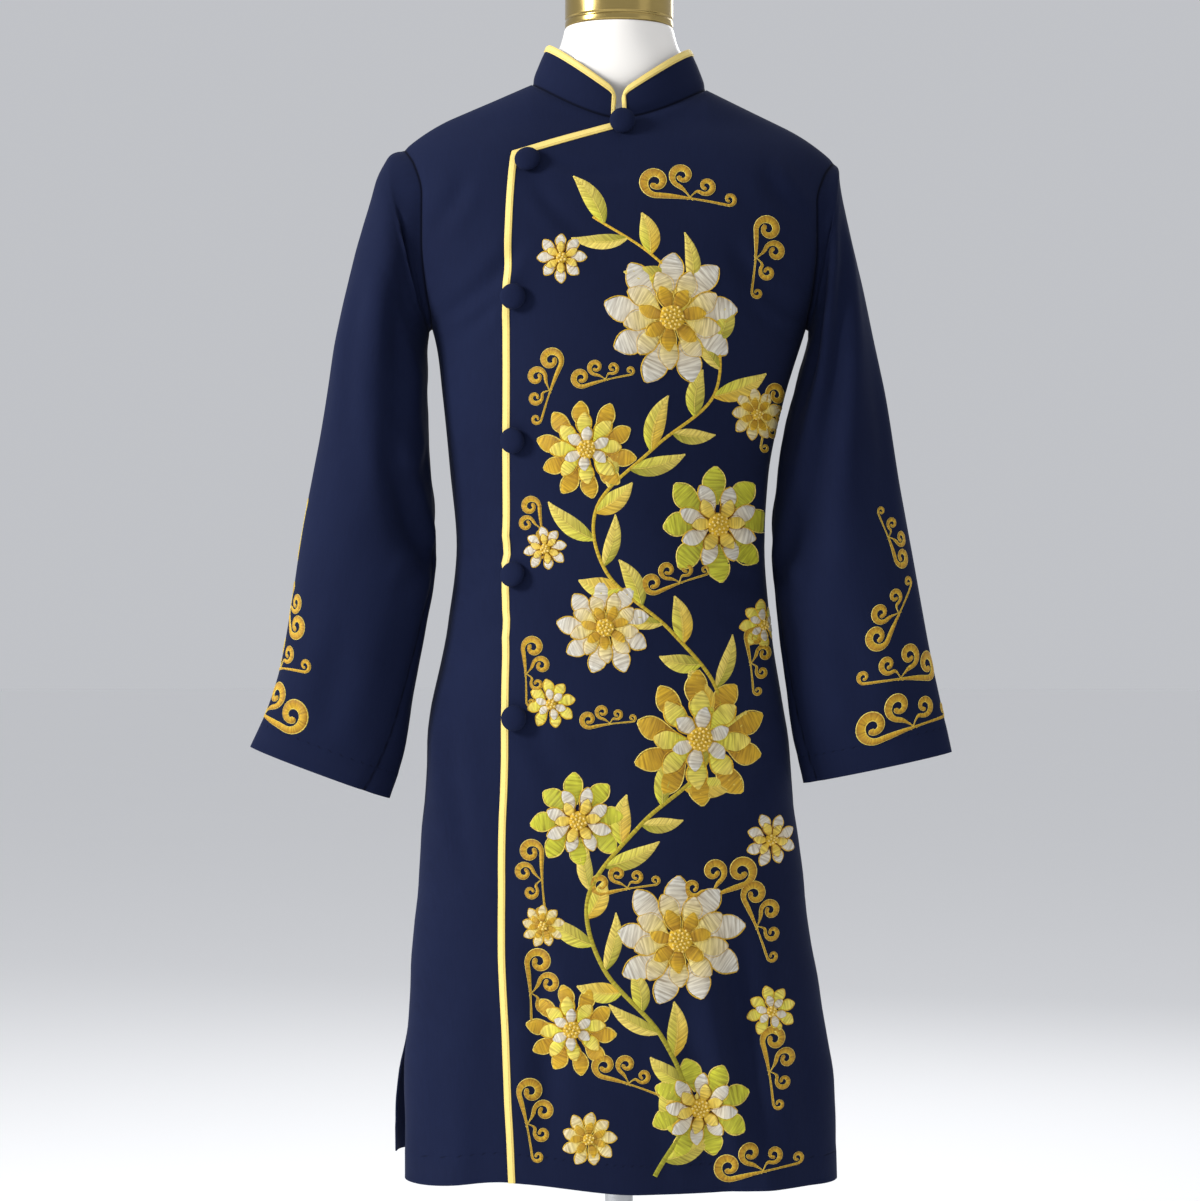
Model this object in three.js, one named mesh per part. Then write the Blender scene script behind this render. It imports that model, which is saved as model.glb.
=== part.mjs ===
// A knee-length side-fastened tunic of the ao dai family, filled out on a limbless dress form.
// Millimetres, +Z up, the floor at z = 0. The wearer faces -Y, so the wearer's right arm is at -X.
// The cloth is a set of thin walls: each panel is a grid of points on one garment surface, given
// by horizontal rings, a shoulder line and soft folds, and each sleeve is a tube through sections.
import * as THREE from "three";

// Cloth, seams and trim.
const CLOTH = 1.6;
const SEAM_GAP = 0.5;
const LAP_LIFT = 2.6;
const TRIM_WIDTH = 7;
const TRIM_THICKNESS = 1.2;
const TRIM_GAP = 0.5;
const COLLAR_TRIM_GAP = 0.9;

// Key heights and widths of the garment.
const HEM_Z = 386;
const BACK_HEM_Z = 402;
const SLIT_TOP_Z = 870;
const ARMPIT_Z = 1230;
const NECK_SIDE_X = 87;
const NECK_SIDE_Z = 1472;
const FRONT_NECK_Z = 1433;
const BACK_NECK_Z = 1476;
const SHOULDER_X = 215;
const SHOULDER_SLOPE = 0.4545;
const SHOULDER_DROOP = 0.004;
const DROOP_FROM_X = 165;
const SHOULDER_TILT = 0.03;
const NECK_FRONT_DEPTH = 62;
const NECK_BACK_DEPTH = 61;
const RIDGE_DEPTH = 80;
const ROUNDNESS = 2.2;

// Closure: the left front laps over the right one as far as this line.
const CORNER = { x: -109, z: 1397 };
const CORNER_CUT = 3;
const LAP_WIDTH = 40;
const CLOSURE_LINE = [
  { z: 386, x: -108 },
  { z: 480, x: -112 },
  { z: 660, x: -118 },
  { z: 850, x: -114 },
  { z: 1230, x: -113 },
  { z: 1397, x: -109 },
];

// The garment's rings. The width is the photograph's outline, and above the armpit it is the
// width that the cloth would have without the armholes.
const BODY_RINGS = [
  { z: 380, halfWidth: 215, centreX: 2, front: 99, back: 100 },
  { z: 480, halfWidth: 214, centreX: 0, front: 101, back: 104 },
  { z: 560, halfWidth: 205, centreX: -4, front: 105, back: 110 },
  { z: 660, halfWidth: 194, centreX: -8, front: 109, back: 116 },
  { z: 760, halfWidth: 184, centreX: -10, front: 112, back: 120 },
  { z: 835, halfWidth: 178, centreX: -12, front: 111, back: 120 },
  { z: 935, halfWidth: 161, centreX: -10, front: 105, back: 106 },
  { z: 1015, halfWidth: 153.5, centreX: -8.5, front: 102, back: 96 },
  { z: 1085, halfWidth: 158.5, centreX: -9.5, front: 107, back: 101 },
  { z: 1160, halfWidth: 170, centreX: -5.5, front: 115, back: 112 },
  { z: 1230, halfWidth: 186, centreX: 0, front: 118, back: 118 },
  { z: 1252, halfWidth: 196, centreX: 0, front: 117, back: 119 },
  { z: 1276, halfWidth: 206, centreX: 0, front: 115, back: 119 },
  { z: 1305, halfWidth: 214, centreX: 0, front: 111, back: 117 },
  { z: 1360, halfWidth: 219, centreX: 0, front: 97, back: 108 },
  { z: 1407, halfWidth: 232, centreX: 0, front: 77, back: 94 },
  { z: 1435, halfWidth: 232, centreX: 0, front: 65, back: 86 },
  { z: 1480, halfWidth: 232, centreX: 0, front: 60, back: 76 },
];

// Front and back armhole edges, from the armpit up to the shoulder point.
const ARMHOLE = [
  { share: 0, x: 186, z: 1230 },
  { share: 0.12, x: 187, z: 1240 },
  { share: 0.25, x: 191, z: 1264 },
  { share: 0.45, x: 195, z: 1310 },
  { share: 0.68, x: 195, z: 1355 },
  { share: 0.86, x: 203, z: 1385 },
  { share: 1, x: 215, z: 1403.8 },
];

// Soft vertical folds of the skirt and the chest: each runs from its foot to its head.
const BODY_FOLDS = [
  { side: -1, footX: 150, footZ: 380, headX: 118, headZ: 720, width: 17, proud: 7 },
  { side: -1, footX: 106, footZ: 380, headX: 88, headZ: 640, width: 15, proud: -4 },
  { side: -1, footX: 190, footZ: 380, headX: 160, headZ: 640, width: 14, proud: -4 },
  { side: -1, footX: 10, footZ: 380, headX: 0, headZ: 700, width: 42, proud: 4 },
  { side: -1, footX: -160, footZ: 380, headX: -140, headZ: 660, width: 20, proud: 4 },
  { side: -1, footX: -178, footZ: 1150, headX: -120, headZ: 1010, width: 12, proud: -3 },
  { side: -1, footX: 168, footZ: 1150, headX: 110, headZ: 1010, width: 12, proud: -3 },
  { side: 1, footX: -120, footZ: 390, headX: -90, headZ: 760, width: 22, proud: 7 },
  { side: 1, footX: -60, footZ: 390, headX: -44, headZ: 760, width: 20, proud: -5 },
  { side: 1, footX: 0, footZ: 390, headX: 0, headZ: 760, width: 24, proud: 6 },
  { side: 1, footX: 62, footZ: 390, headX: 46, headZ: 760, width: 20, proud: -5 },
  { side: 1, footX: 118, footZ: 390, headX: 92, headZ: 760, width: 22, proud: 7 },
];

// How far each side panel edge swings out of the side line between the slit's top and the hem.
const SLIT_SWING = {
  front: { right: 8, left: 6 },
  back: { right: 44, left: 24 },
};
const BACK_FLARE = { right: 13, left: -4 };

// Sleeve sections in the front view, by their outer and inner ends, and their half depth.
const RIGHT_SLEEVE = [
  { outX: 228, outZ: 1405, inX: 189, inZ: 1228, depth: 53, y: 0 },
  { outX: 239, outZ: 1388, inX: 190.5, inZ: 1220, depth: 57, y: 0 },
  { outX: 249.5, outZ: 1354, inX: 191.5, inZ: 1208, depth: 60, y: 0 },
  { outX: 261, outZ: 1316, inX: 191.5, inZ: 1192, depth: 61, y: -1 },
  { outX: 272, outZ: 1270, inX: 191, inZ: 1170, depth: 61, y: -2 },
  { outX: 284, outZ: 1216, inX: 190.5, inZ: 1138, depth: 60, y: -4 },
  { outX: 293.5, outZ: 1150, inX: 188.5, inZ: 1096, depth: 59, y: -6 },
  { outX: 305, outZ: 1086, inX: 183.5, inZ: 1046, depth: 57, y: -8 },
  { outX: 317, outZ: 1020, inX: 184, inZ: 992, depth: 54, y: -11 },
  { outX: 325.5, outZ: 960, inX: 193.5, inZ: 930, depth: 50, y: -14 },
  { outX: 335.5, outZ: 900, inX: 204, inZ: 866, depth: 44, y: -17 },
  { outX: 349, outZ: 854, inX: 214, inZ: 811, depth: 37, y: -19 },
  { outX: 366, outZ: 815, inX: 228, inZ: 764, depth: 29, y: -21 },
];
const LEFT_SLEEVE = [
  { outX: 218.5, outZ: 1392, inX: 189, inZ: 1228, depth: 53, y: 0 },
  { outX: 221, outZ: 1374, inX: 189.5, inZ: 1219, depth: 57, y: 0 },
  { outX: 226.5, outZ: 1344, inX: 186, inZ: 1204, depth: 60, y: 0 },
  { outX: 235.5, outZ: 1305, inX: 180, inZ: 1186, depth: 61, y: -1 },
  { outX: 247, outZ: 1255, inX: 173, inZ: 1160, depth: 61, y: -2 },
  { outX: 258, outZ: 1200, inX: 165, inZ: 1126, depth: 60, y: -4 },
  { outX: 269, outZ: 1140, inX: 157, inZ: 1082, depth: 59, y: -6 },
  { outX: 279.5, outZ: 1076, inX: 153, inZ: 1034, depth: 57, y: -8 },
  { outX: 291, outZ: 1012, inX: 155.5, inZ: 980, depth: 54, y: -11 },
  { outX: 301, outZ: 954, inX: 160, inZ: 922, depth: 50, y: -14 },
  { outX: 310.5, outZ: 902, inX: 167, inZ: 868, depth: 45, y: -17 },
  { outX: 321, outZ: 852, inX: 175, inZ: 816, depth: 38, y: -19 },
  { outX: 330, outZ: 810, inX: 183, inZ: 779, depth: 30, y: -21 },
];
// Sleeve folds: along is the station, around is degrees from the outer line towards the front.
const SLEEVE_FOLDS = [
  { along: 3.2, around: 118, length: 1.7, spread: 22, proud: -6 },
  { along: 3.0, around: 78, length: 2.4, spread: 20, proud: 4 },
  { along: 8.2, around: 132, length: 0.8, spread: 30, proud: -7 },
  { along: 7.3, around: 104, length: 0.8, spread: 30, proud: 4 },
  { along: 9.0, around: 150, length: 0.6, spread: 26, proud: 4 },
  { along: 8.0, around: 228, length: 1.0, spread: 30, proud: -6 },
  { along: 4.0, around: 250, length: 2.2, spread: 24, proud: -4 },
  { along: 6.0, around: 285, length: 2.2, spread: 24, proud: 4 },
];

// The stand collar: an upright band whose front ends leave a narrow gap with rounded corners.
const COLLAR = {
  thickness: 2,
  topHalfWidth: 71,
  topFront: 57,
  topBack: 59,
  sideTopZ: 1512,
  backTopZ: 1517,
  frontTopZ: 1459,
  rightEndX: -4,
  leftEndX: 3,
  cornerRadius: 9,
  bulge: 1.5,
  tilt: 0.03,
};
const COLLAR_LEVELS = [0, 0.28, 0.56, 0.83, 1];
const COLLAR_END_SPLIT = [0, 0.35, 0.7];
const TRIM_COLLAR_COLUMN = 2;

// Cloth-covered domed buttons, by their places in the front view.
const BUTTON = {
  radius: 12.5,
  dome: 5.5,
  domeSteps: 4,
  rim: 2,
  edge: 1.5,
  standOff: 3.4,
  shank: 3,
  sides: 16,
};
const BUTTON_PLACES = [
  { name: "neck", x: 3, z: 1427, upright: 0.7, proud: 2.5 },
  { name: "shoulder", x: -89, z: 1387, upright: 0, proud: 0 },
  { name: "chest", x: -102, z: 1253, upright: 0, proud: 0 },
  { name: "ribs", x: -102, z: 1115, upright: 0, proud: 0 },
  { name: "waist", x: -102, z: 984, upright: 0, proud: 0 },
  { name: "hip", x: -101, z: 846, upright: 0, proud: 0 },
];
const BUTTON_SEAT = 0.4;

// The dress form and its stand.
const FORM = {
  bottomZ: 742,
  neckTopZ: 1531,
  neckRadius: 53,
  shoulderDrop: 1.85,
  armPlateX: 188,
  endRound: 34,
  footShrink: 0.965,
  neckBlend: [1444, 1474],
  sides: 32,
};
const FORM_EASE = [
  { z: 742, ease: 17 },
  { z: 860, ease: 13 },
  { z: 1015, ease: 13 },
  { z: 1160, ease: 9 },
  { z: 1280, ease: 4.5 },
  { z: 1380, ease: 3 },
  { z: 1480, ease: 3 },
];
const NECK_RINGS = [
  { z: 1440, halfWidth: 78, depth: 49 },
  { z: 1470, halfWidth: 75, depth: 49 },
  { z: 1484, halfWidth: 71, depth: 50 },
  { z: 1500, halfWidth: 65, depth: 50 },
  { z: 1516, halfWidth: 58, depth: 51 },
  { z: 1531, halfWidth: 54, depth: 53 },
];
const FORM_LEVELS = [
  742, 747, 790, 840, 890, 940, 980, 1015, 1050, 1090, 1140, 1185, 1230, 1275, 1320, 1350, 1375,
  1392, 1404, 1414, 1424, 1434, 1442, 1449, 1456, 1462, 1468,
];
const NECK_LEVELS = [1474, 1481, 1488, 1498, 1508, 1520, 1531];
const CAP = { radius: 54, height: 44, round: 5, sides: 40 };
const POLE = { radius: 14, sides: 24 };
const FLANGE = { radius: 42, thickness: 8, sides: 32 };
const BASE = {
  radius: 180,
  thickness: 9,
  round: 4,
  hubRadius: 26,
  hubTopRadius: 20,
  hubHeight: 46,
  sides: 56,
};
const SEAT = 0.3;

// Grid sizes.
const SLIT_ROWS = 8;
const SIDE_ROWS = 8;
const ROWS_ABOVE = 11;
const SHOULDER_COLUMNS = 6;
const NECK_COLUMNS = 8;
const BACK_NECK_COLUMNS = 12;
const TRIM_COLUMNS = 8;
const TRIM_END_X = -4;
const SLEEVE_ROWS = 20;
const EVEN_FROM_STATION = 6;
const MOST_MITRE = 1.3;
const ROW_DROP = 150;

const clamp = (value, low, high) => Math.min(high, Math.max(low, value));
const mix = (a, b, share) => a + (b - a) * share;

function ease(from, to, at) {
  const share = clamp((at - from) / (to - from), 0, 1);
  return share * share * (3 - 2 * share);
}

// A smooth value of one column of a table, with no overshoot between its rows.
function column(table, by, key, at) {
  const last = table.length - 1;
  if (at <= table[0][by]) return table[0][key];
  if (at >= table[last][by]) return table[last][key];
  const i = table.findIndex((row) => row[by] > at) - 1;
  const slope = (k) => (table[k + 1][key] - table[k][key]) / (table[k + 1][by] - table[k][by]);
  const knot = (k) => {
    if (k === 0) return slope(0);
    if (k === last) return slope(last - 1);
    const before = slope(k - 1);
    const after = slope(k);
    return before * after <= 0 ? 0 : (2 * before * after) / (before + after);
  };
  const span = table[i + 1][by] - table[i][by];
  const t = (at - table[i][by]) / span;
  return (
    table[i][key] * (1 + 2 * t) * (1 - t) * (1 - t) +
    knot(i) * span * t * (1 - t) * (1 - t) +
    table[i + 1][key] * t * t * (3 - 2 * t) +
    knot(i + 1) * span * t * t * (t - 1)
  );
}

// The garment surface.
function shoulderLine(x) {
  const out = Math.abs(x);
  const droop = Math.max(0, out - DROOP_FROM_X);
  const down = SHOULDER_SLOPE * (out - NECK_SIDE_X) + SHOULDER_DROOP * droop * droop;
  return NECK_SIDE_Z - down - SHOULDER_TILT * x;
}

const neckShare = (x) => clamp(Math.abs(x) / NECK_SIDE_X, 0, 1);
const neckZ = (x, side) => {
  const middle = side < 0 ? FRONT_NECK_Z : BACK_NECK_Z;
  return mix(middle, NECK_SIDE_Z, neckShare(x) ** (side < 0 ? 1.6 : 2)) - SHOULDER_TILT * x;
};

const halfWidthAt = (z) => column(BODY_RINGS, "z", "halfWidth", z);
const centreAt = (z) => column(BODY_RINGS, "z", "centreX", z);
const fullDepthAt = (z, side) => column(BODY_RINGS, "z", side < 0 ? "front" : "back", z);

// The height at which the surface closes over the shoulder. Inside the neckline it is set so
// that the surface passes through the neckline's round plan.
function ridgeTop(x, side) {
  if (Math.abs(x) >= NECK_SIDE_X) return shoulderLine(x);
  const z = neckZ(x, side);
  const wide = side < 0 ? NECK_FRONT_DEPTH : NECK_BACK_DEPTH;
  const share = clamp((wide * Math.sqrt(1 - neckShare(x) ** 2)) / fullDepthAt(z, side), 0, 0.98);
  return z + RIDGE_DEPTH * (1 - Math.sqrt(1 - share * share));
}

function ridge(x, z, side) {
  const below = clamp((ridgeTop(x, side) - z) / RIDGE_DEPTH, 0, 1);
  return Math.sqrt(1 - (1 - below) * (1 - below));
}

// How far round the section is, from 1 at its middle to 0 at the side seam.
function roundness(x, z) {
  const share = clamp(Math.abs(x - centreAt(z)) / halfWidthAt(z), 0, 1);
  return Math.pow(1 - Math.pow(share, ROUNDNESS), 1 / ROUNDNESS);
}

function foldAt(x, z, side) {
  let proud = 0;
  for (const fold of BODY_FOLDS) {
    if (fold.side !== side) continue;
    const along = (z - fold.footZ) / (fold.headZ - fold.footZ);
    if (along < -0.1 || along > 1) continue;
    const off = (x - mix(fold.footX, fold.headX, along)) / fold.width;
    const hangs = fold.footZ < fold.headZ;
    const strength = hangs ? 1 - ease(0.1, 1, along) : Math.sin(Math.PI * Math.max(0, along));
    proud += fold.proud * strength * Math.exp(-off * off);
  }
  return proud;
}

// The depth of the cloth's outer face, for the front (side -1) or the back (side 1).
function depthAt(x, z, side) {
  const around = roundness(x, z);
  const deep = fullDepthAt(z, side) * around * ridge(x, z, side);
  return side * (deep + foldAt(x, z, side) * Math.min(1, around * 1.6));
}

const closureX = (z) => column(CLOSURE_LINE, "z", "x", z);

function armholeAt(share, sign) {
  return {
    x: sign * column(ARMHOLE, "share", "x", share),
    z: column(ARMHOLE, "share", "z", share) - SHOULDER_TILT * sign * SHOULDER_X * share,
  };
}

// How the rows are spaced above the armpit: closer towards the shoulder line.
const rowShare = (row) => 1 - Math.pow(1 - row / ROWS_ABOVE, 1.8);

// The heights of a panel's rows up to the armpit. All panels share those above the slits.
function rowLevels(hemZ) {
  const levels = [];
  for (let i = 0; i < SLIT_ROWS; i += 1) levels.push(mix(hemZ, SLIT_TOP_Z, i / SLIT_ROWS));
  for (let i = 0; i <= SIDE_ROWS; i += 1) levels.push(mix(SLIT_TOP_Z, ARMPIT_Z, i / SIDE_ROWS));
  return levels;
}

// A panel's points in the front view. Its lower rows run round the body from edge to edge, and
// above the armpit it is blended between its two edges, the row below and the top line.
function frontView({ hemZ, top, startX, endX, startAbove, endAbove, hemRise = () => 0 }) {
  const columns = top.length - 1;
  const grid = rowLevels(hemZ).map((level, row) => {
    const half = halfWidthAt(level);
    const middle = centreAt(level);
    const angleAt = (x) => Math.acos(clamp((x - middle) / half, -1, 1));
    const start = startX ? angleAt(startX(level)) : Math.PI;
    const end = endX ? angleAt(endX(level)) : 0;
    return top.map((_, j) => {
      const x = middle + half * Math.cos(mix(start, end, j / columns));
      return { x, z: level + hemRise(x) * Math.max(0, 1 - row / SLIT_ROWS) ** 2 };
    });
  });
  const bottom = grid[grid.length - 1];
  for (let row = 1; row <= ROWS_ABOVE; row += 1) {
    const t = rowShare(row);
    const first = startAbove(t);
    const last = endAbove(t);
    grid.push(
      top.map((_, j) => {
        const s = j / columns;
        const blend = (key) => {
          const upright = mix(bottom[j][key], top[j][key], t);
          const level = mix(first[key], last[key], s);
          const corners = mix(
            mix(bottom[0][key], bottom[columns][key], s),
            mix(top[0][key], top[columns][key], s),
            t,
          );
          return upright + level - corners;
        };
        const x = blend("x");
        return { x, z: Math.min(blend("z"), shoulderLine(x) - ROW_DROP * (1 - t)) };
      }),
    );
  }
  return grid;
}

// Below the slits' tops the panels' side edges swing apart.
function slitSwing(x, z, side) {
  const share = clamp((SLIT_TOP_Z - z) / (SLIT_TOP_Z - HEM_Z), 0, 1);
  const off = (x - centreAt(z)) / halfWidthAt(z);
  const nearEdge = clamp((Math.abs(off) - 0.55) / 0.45, 0, 1) ** 2;
  const arm = off < 0 ? "right" : "left";
  const swing = SLIT_SWING[side < 0 ? "front" : "back"][arm];
  const flare = side > 0 ? BACK_FLARE[arm] : 0;
  return {
    y: side * swing * share ** 1.6 * nearEdge,
    x: Math.sign(off) * flare * ease(560, 420, z) * nearEdge,
  };
}

function ontoBody(grid, side, lift = () => 0) {
  return grid.map((points) =>
    points.map(({ x, z }) => {
      const swing = slitSwing(x, z, side);
      const y = depthAt(x, z, side) + side * (SEAM_GAP / 2 + lift(x));
      return new THREE.Vector3(x + swing.x, y + swing.y, z);
    }),
  );
}

// A piece of cloth: rows of points on its outer face, each with a normal that points out.
function clothPiece(points, turn, { closed = false, thickness = CLOTH } = {}) {
  const rows = points.length;
  const columns = points[0].length;
  const normals = points.map((row, i) =>
    row.map((_, j) => {
      const up = points[Math.min(rows - 1, i + 1)][j].clone().sub(points[Math.max(0, i - 1)][j]);
      const after = closed ? (j + 1) % columns : Math.min(columns - 1, j + 1);
      const before = closed ? (j + columns - 1) % columns : Math.max(0, j - 1);
      const across = row[after].clone().sub(row[before]);
      return across.cross(up).multiplyScalar(turn).normalize();
    }),
  );
  return { points, normals, turn, closed, thickness };
}

// At the side and shoulder seams the walls end in the seam's own plane.
function squareSeams(piece) {
  piece.points.forEach((row, i) =>
    row.forEach((point, j) => {
      if (Math.abs(point.y) < SEAM_GAP) piece.normals[i][j].setY(0).normalize();
    }),
  );
  return piece;
}

// Joins edge points of panels to the first row of another piece. Both walls end on one face,
// which halves the angle between them, and half a seam gap is taken off each.
function join(edges, piece, turn) {
  const foot = piece.points[0].map((point) => point.clone());
  const count = foot.length;
  edges.forEach((edge, k) => {
    if (!edge.length) return;
    const after = foot[piece.closed ? (k + 1) % count : Math.min(count - 1, k + 1)];
    const before = foot[piece.closed ? (k + count - 1) % count : Math.max(0, k - 1)];
    const tangent = after.clone().sub(before);
    const sum = new THREE.Vector3();
    for (const [panel, i, j] of edge) sum.add(panel.normals[i][j]);
    const own = piece.normals[0][k];
    const mean = sum.normalize().add(own).normalize();
    const mitre = Math.min(MOST_MITRE, 1 / mean.dot(own));
    const across = tangent.cross(mean).normalize().multiplyScalar((turn * SEAM_GAP) / 2);
    mean.multiplyScalar(mitre);
    piece.points[0][k] = foot[k].clone().add(across);
    piece.normals[0][k] = mean.clone();
    for (const [panel, i, j] of edge) {
      panel.points[i][j] = panel.points[i][j].clone().sub(across);
      panel.normals[i][j] = mean.clone();
    }
  });
}

// A closed wall between two grids of the same size.
function wall(outer, inner, turn, closed) {
  const rows = outer.length;
  const columns = outer[0].length;
  const spans = closed ? columns : columns - 1;
  const positions = [];
  const put = (a, b, c) => {
    if (a.equals(b) || b.equals(c) || c.equals(a)) return;
    positions.push(a, ...(turn > 0 ? [b, c] : [c, b]));
  };
  const quad = (a, b, c, d) => {
    put(a, b, c);
    put(a, c, d);
  };
  for (let i = 0; i < rows - 1; i += 1) {
    for (let j = 0; j < spans; j += 1) {
      const k = (j + 1) % columns;
      quad(outer[i][j], outer[i][k], outer[i + 1][k], outer[i + 1][j]);
      quad(inner[i][j], inner[i + 1][j], inner[i + 1][k], inner[i][k]);
    }
    if (!closed) {
      quad(outer[i][0], outer[i + 1][0], inner[i + 1][0], inner[i][0]);
      quad(outer[i + 1][spans], outer[i][spans], inner[i][spans], inner[i + 1][spans]);
    }
  }
  for (let j = 0; j < spans; j += 1) {
    const k = (j + 1) % columns;
    quad(outer[0][k], outer[0][j], inner[0][j], inner[0][k]);
    quad(outer[rows - 1][j], outer[rows - 1][k], inner[rows - 1][k], inner[rows - 1][j]);
  }
  return new THREE.BufferGeometry().setFromPoints(positions);
}

function moved(piece, i, j, by) {
  return piece.points[i][j].clone().addScaledVector(piece.normals[i][j], by);
}

function clothWall(piece) {
  const layer = (by) => piece.points.map((row, i) => row.map((_, j) => moved(piece, i, j, by)));
  return wall(layer(0), layer(-piece.thickness), piece.turn, piece.closed);
}

// Trim that lies on a piece, between pairs of its own points moved out.
function trimWall(piece, pairs, gap) {
  const layer = (by) => pairs.map((pair) => pair.map(([i, j]) => moved(piece, i, j, by)));
  return wall(layer(gap + TRIM_THICKNESS), layer(gap), piece.turn, false);
}

// Points along the top of a panel, from one place to the next.
function along(from, to, count, height) {
  return Array.from({ length: count }, (_, i) => {
    const x = mix(from, to, (i + 1) / count);
    return { x, z: height(x) };
  });
}

const frontNeck = (x) => neckZ(x, -1);
const backNeck = (x) => neckZ(x, 1);

function backPanel() {
  const grid = frontView({
    hemZ: BACK_HEM_Z,
    top: [
      { x: -SHOULDER_X, z: shoulderLine(-SHOULDER_X) },
      ...along(-SHOULDER_X, -NECK_SIDE_X, SHOULDER_COLUMNS, shoulderLine),
      ...along(-NECK_SIDE_X, NECK_SIDE_X, BACK_NECK_COLUMNS, backNeck),
      ...along(NECK_SIDE_X, SHOULDER_X, SHOULDER_COLUMNS, shoulderLine),
    ],
    startAbove: (t) => armholeAt(t, -1),
    endAbove: (t) => armholeAt(t, 1),
  });
  return squareSeams(clothPiece(ontoBody(grid, 1), -1));
}

// The right front, with the strip that goes under the left one.
function rightFront() {
  const neckX = COLLAR.rightEndX;
  const lapX = (z) => mix(closureX(z) + LAP_WIDTH, neckX, ease(1270, frontNeck(neckX), z) ** 1.3);
  const grid = frontView({
    hemZ: HEM_Z,
    hemRise: (x) => 9 * ease(-200, -110, x),
    top: [
      { x: -SHOULDER_X, z: shoulderLine(-SHOULDER_X) },
      ...along(-SHOULDER_X, -NECK_SIDE_X, SHOULDER_COLUMNS, shoulderLine),
      ...along(-NECK_SIDE_X, neckX, NECK_COLUMNS, frontNeck),
    ],
    endX: (z) => closureX(z) + LAP_WIDTH,
    startAbove: (t) => armholeAt(t, -1),
    endAbove: (t) => {
      const z = mix(ARMPIT_Z, frontNeck(neckX), t);
      return { x: lapX(z), z };
    },
  });
  return squareSeams(clothPiece(ontoBody(grid, -1), 1));
}

// The left front laps over the right one, so it stands proud of it and settles further left.
const lapLift = (x) => LAP_LIFT * (1 - ease(5, 75, x));

function leftFront() {
  const neckX = COLLAR.leftEndX;
  const slant = (x) => {
    const share = (x - CORNER.x) / (neckX - CORNER.x);
    return mix(CORNER.z, frontNeck(neckX) - 3, share);
  };
  const grid = frontView({
    hemZ: HEM_Z,
    hemRise: (x) => 9 * ease(20, -110, x),
    top: [
      { x: CORNER.x + CORNER_CUT, z: CORNER.z - CORNER_CUT },
      { x: CORNER.x + TRIM_WIDTH, z: slant(CORNER.x + TRIM_WIDTH) },
      ...along(CORNER.x + TRIM_WIDTH, TRIM_END_X, TRIM_COLUMNS - 1, slant),
      { x: neckX, z: frontNeck(neckX) },
      ...along(neckX, NECK_SIDE_X, NECK_COLUMNS, frontNeck),
      ...along(NECK_SIDE_X, SHOULDER_X, SHOULDER_COLUMNS, shoulderLine),
    ],
    startX: closureX,
    startAbove: (t) => {
      const z = mix(ARMPIT_Z, CORNER.z - CORNER_CUT, t);
      return { x: closureX(z) + CORNER_CUT * t ** 6, z };
    },
    endAbove: (t) => armholeAt(t, 1),
  });
  // The points beside the edge and under the slanting top keep the trim at its own width.
  const last = grid.length - 1;
  for (let i = 0; i < last; i += 1) grid[i][1] = { x: grid[i][0].x + TRIM_WIDTH, z: grid[i][0].z };
  for (let j = 0; j <= TRIM_COLUMNS; j += 1) {
    const above = grid[last][Math.max(j, 1)];
    grid[last - 1][j] = { x: above.x + 1.5, z: above.z - TRIM_WIDTH };
  }
  grid[last - 1][0].x = closureX(grid[last - 1][0].z);
  const piece = squareSeams(clothPiece(ontoBody(grid, -1, lapLift), 1));
  piece.normals[last][0].copy(piece.normals[last - 1][1]);
  return piece;
}

function frontTrim(piece) {
  const last = piece.points.length - 1;
  const pairs = [];
  for (let i = 0; i < last; i += 1) pairs.push([[i, 0], [i, 1]]);
  pairs.push([[last, 0], [last - 1, 1]]);
  for (let j = 1; j <= TRIM_COLUMNS; j += 1) pairs.push([[last, j], [last - 1, j]]);
  return trimWall(piece, pairs, TRIM_GAP);
}

// The panel edges round an armhole: from the shoulder down the front, then up the back.
function armholeEdge(front, back, sign) {
  const columnOf = (panel) => (sign < 0 ? 0 : panel.points[0].length - 1);
  const armpit = SLIT_ROWS + SIDE_ROWS;
  const top = armpit + ROWS_ABOVE;
  const edges = [[[front, top, columnOf(front)], [back, top, columnOf(back)]]];
  for (let i = top - 1; i > armpit; i -= 1) edges.push([[front, i, columnOf(front)]]);
  edges.push([[front, armpit, columnOf(front)], [back, armpit, columnOf(back)]]);
  for (let i = armpit + 1; i < top; i += 1) edges.push([[back, i, columnOf(back)]]);
  return edges;
}

const edgePoint = (edge) =>
  edge
    .reduce((sum, [panel, i, j]) => sum.add(panel.points[i][j]), new THREE.Vector3())
    .divideScalar(edge.length);

function sleeveFold(station, around) {
  let proud = 0;
  for (const fold of SLEEVE_FOLDS) {
    const a = (station - fold.along) / fold.length;
    const b = (around - fold.around) / fold.spread;
    proud += fold.proud * Math.exp(-a * a - b * b);
  }
  return proud;
}

// How far round a sleeve section a point lies: 0 on its outer line, then to the front.
function shareRound(point, centre, half, depth) {
  const across = point.clone().sub(centre).dot(half) / half.lengthSq();
  const turn = Math.atan2(-point.y / depth, across) / (2 * Math.PI);
  return turn < -0.01 ? turn + 1 : Math.max(0, turn);
}

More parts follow.
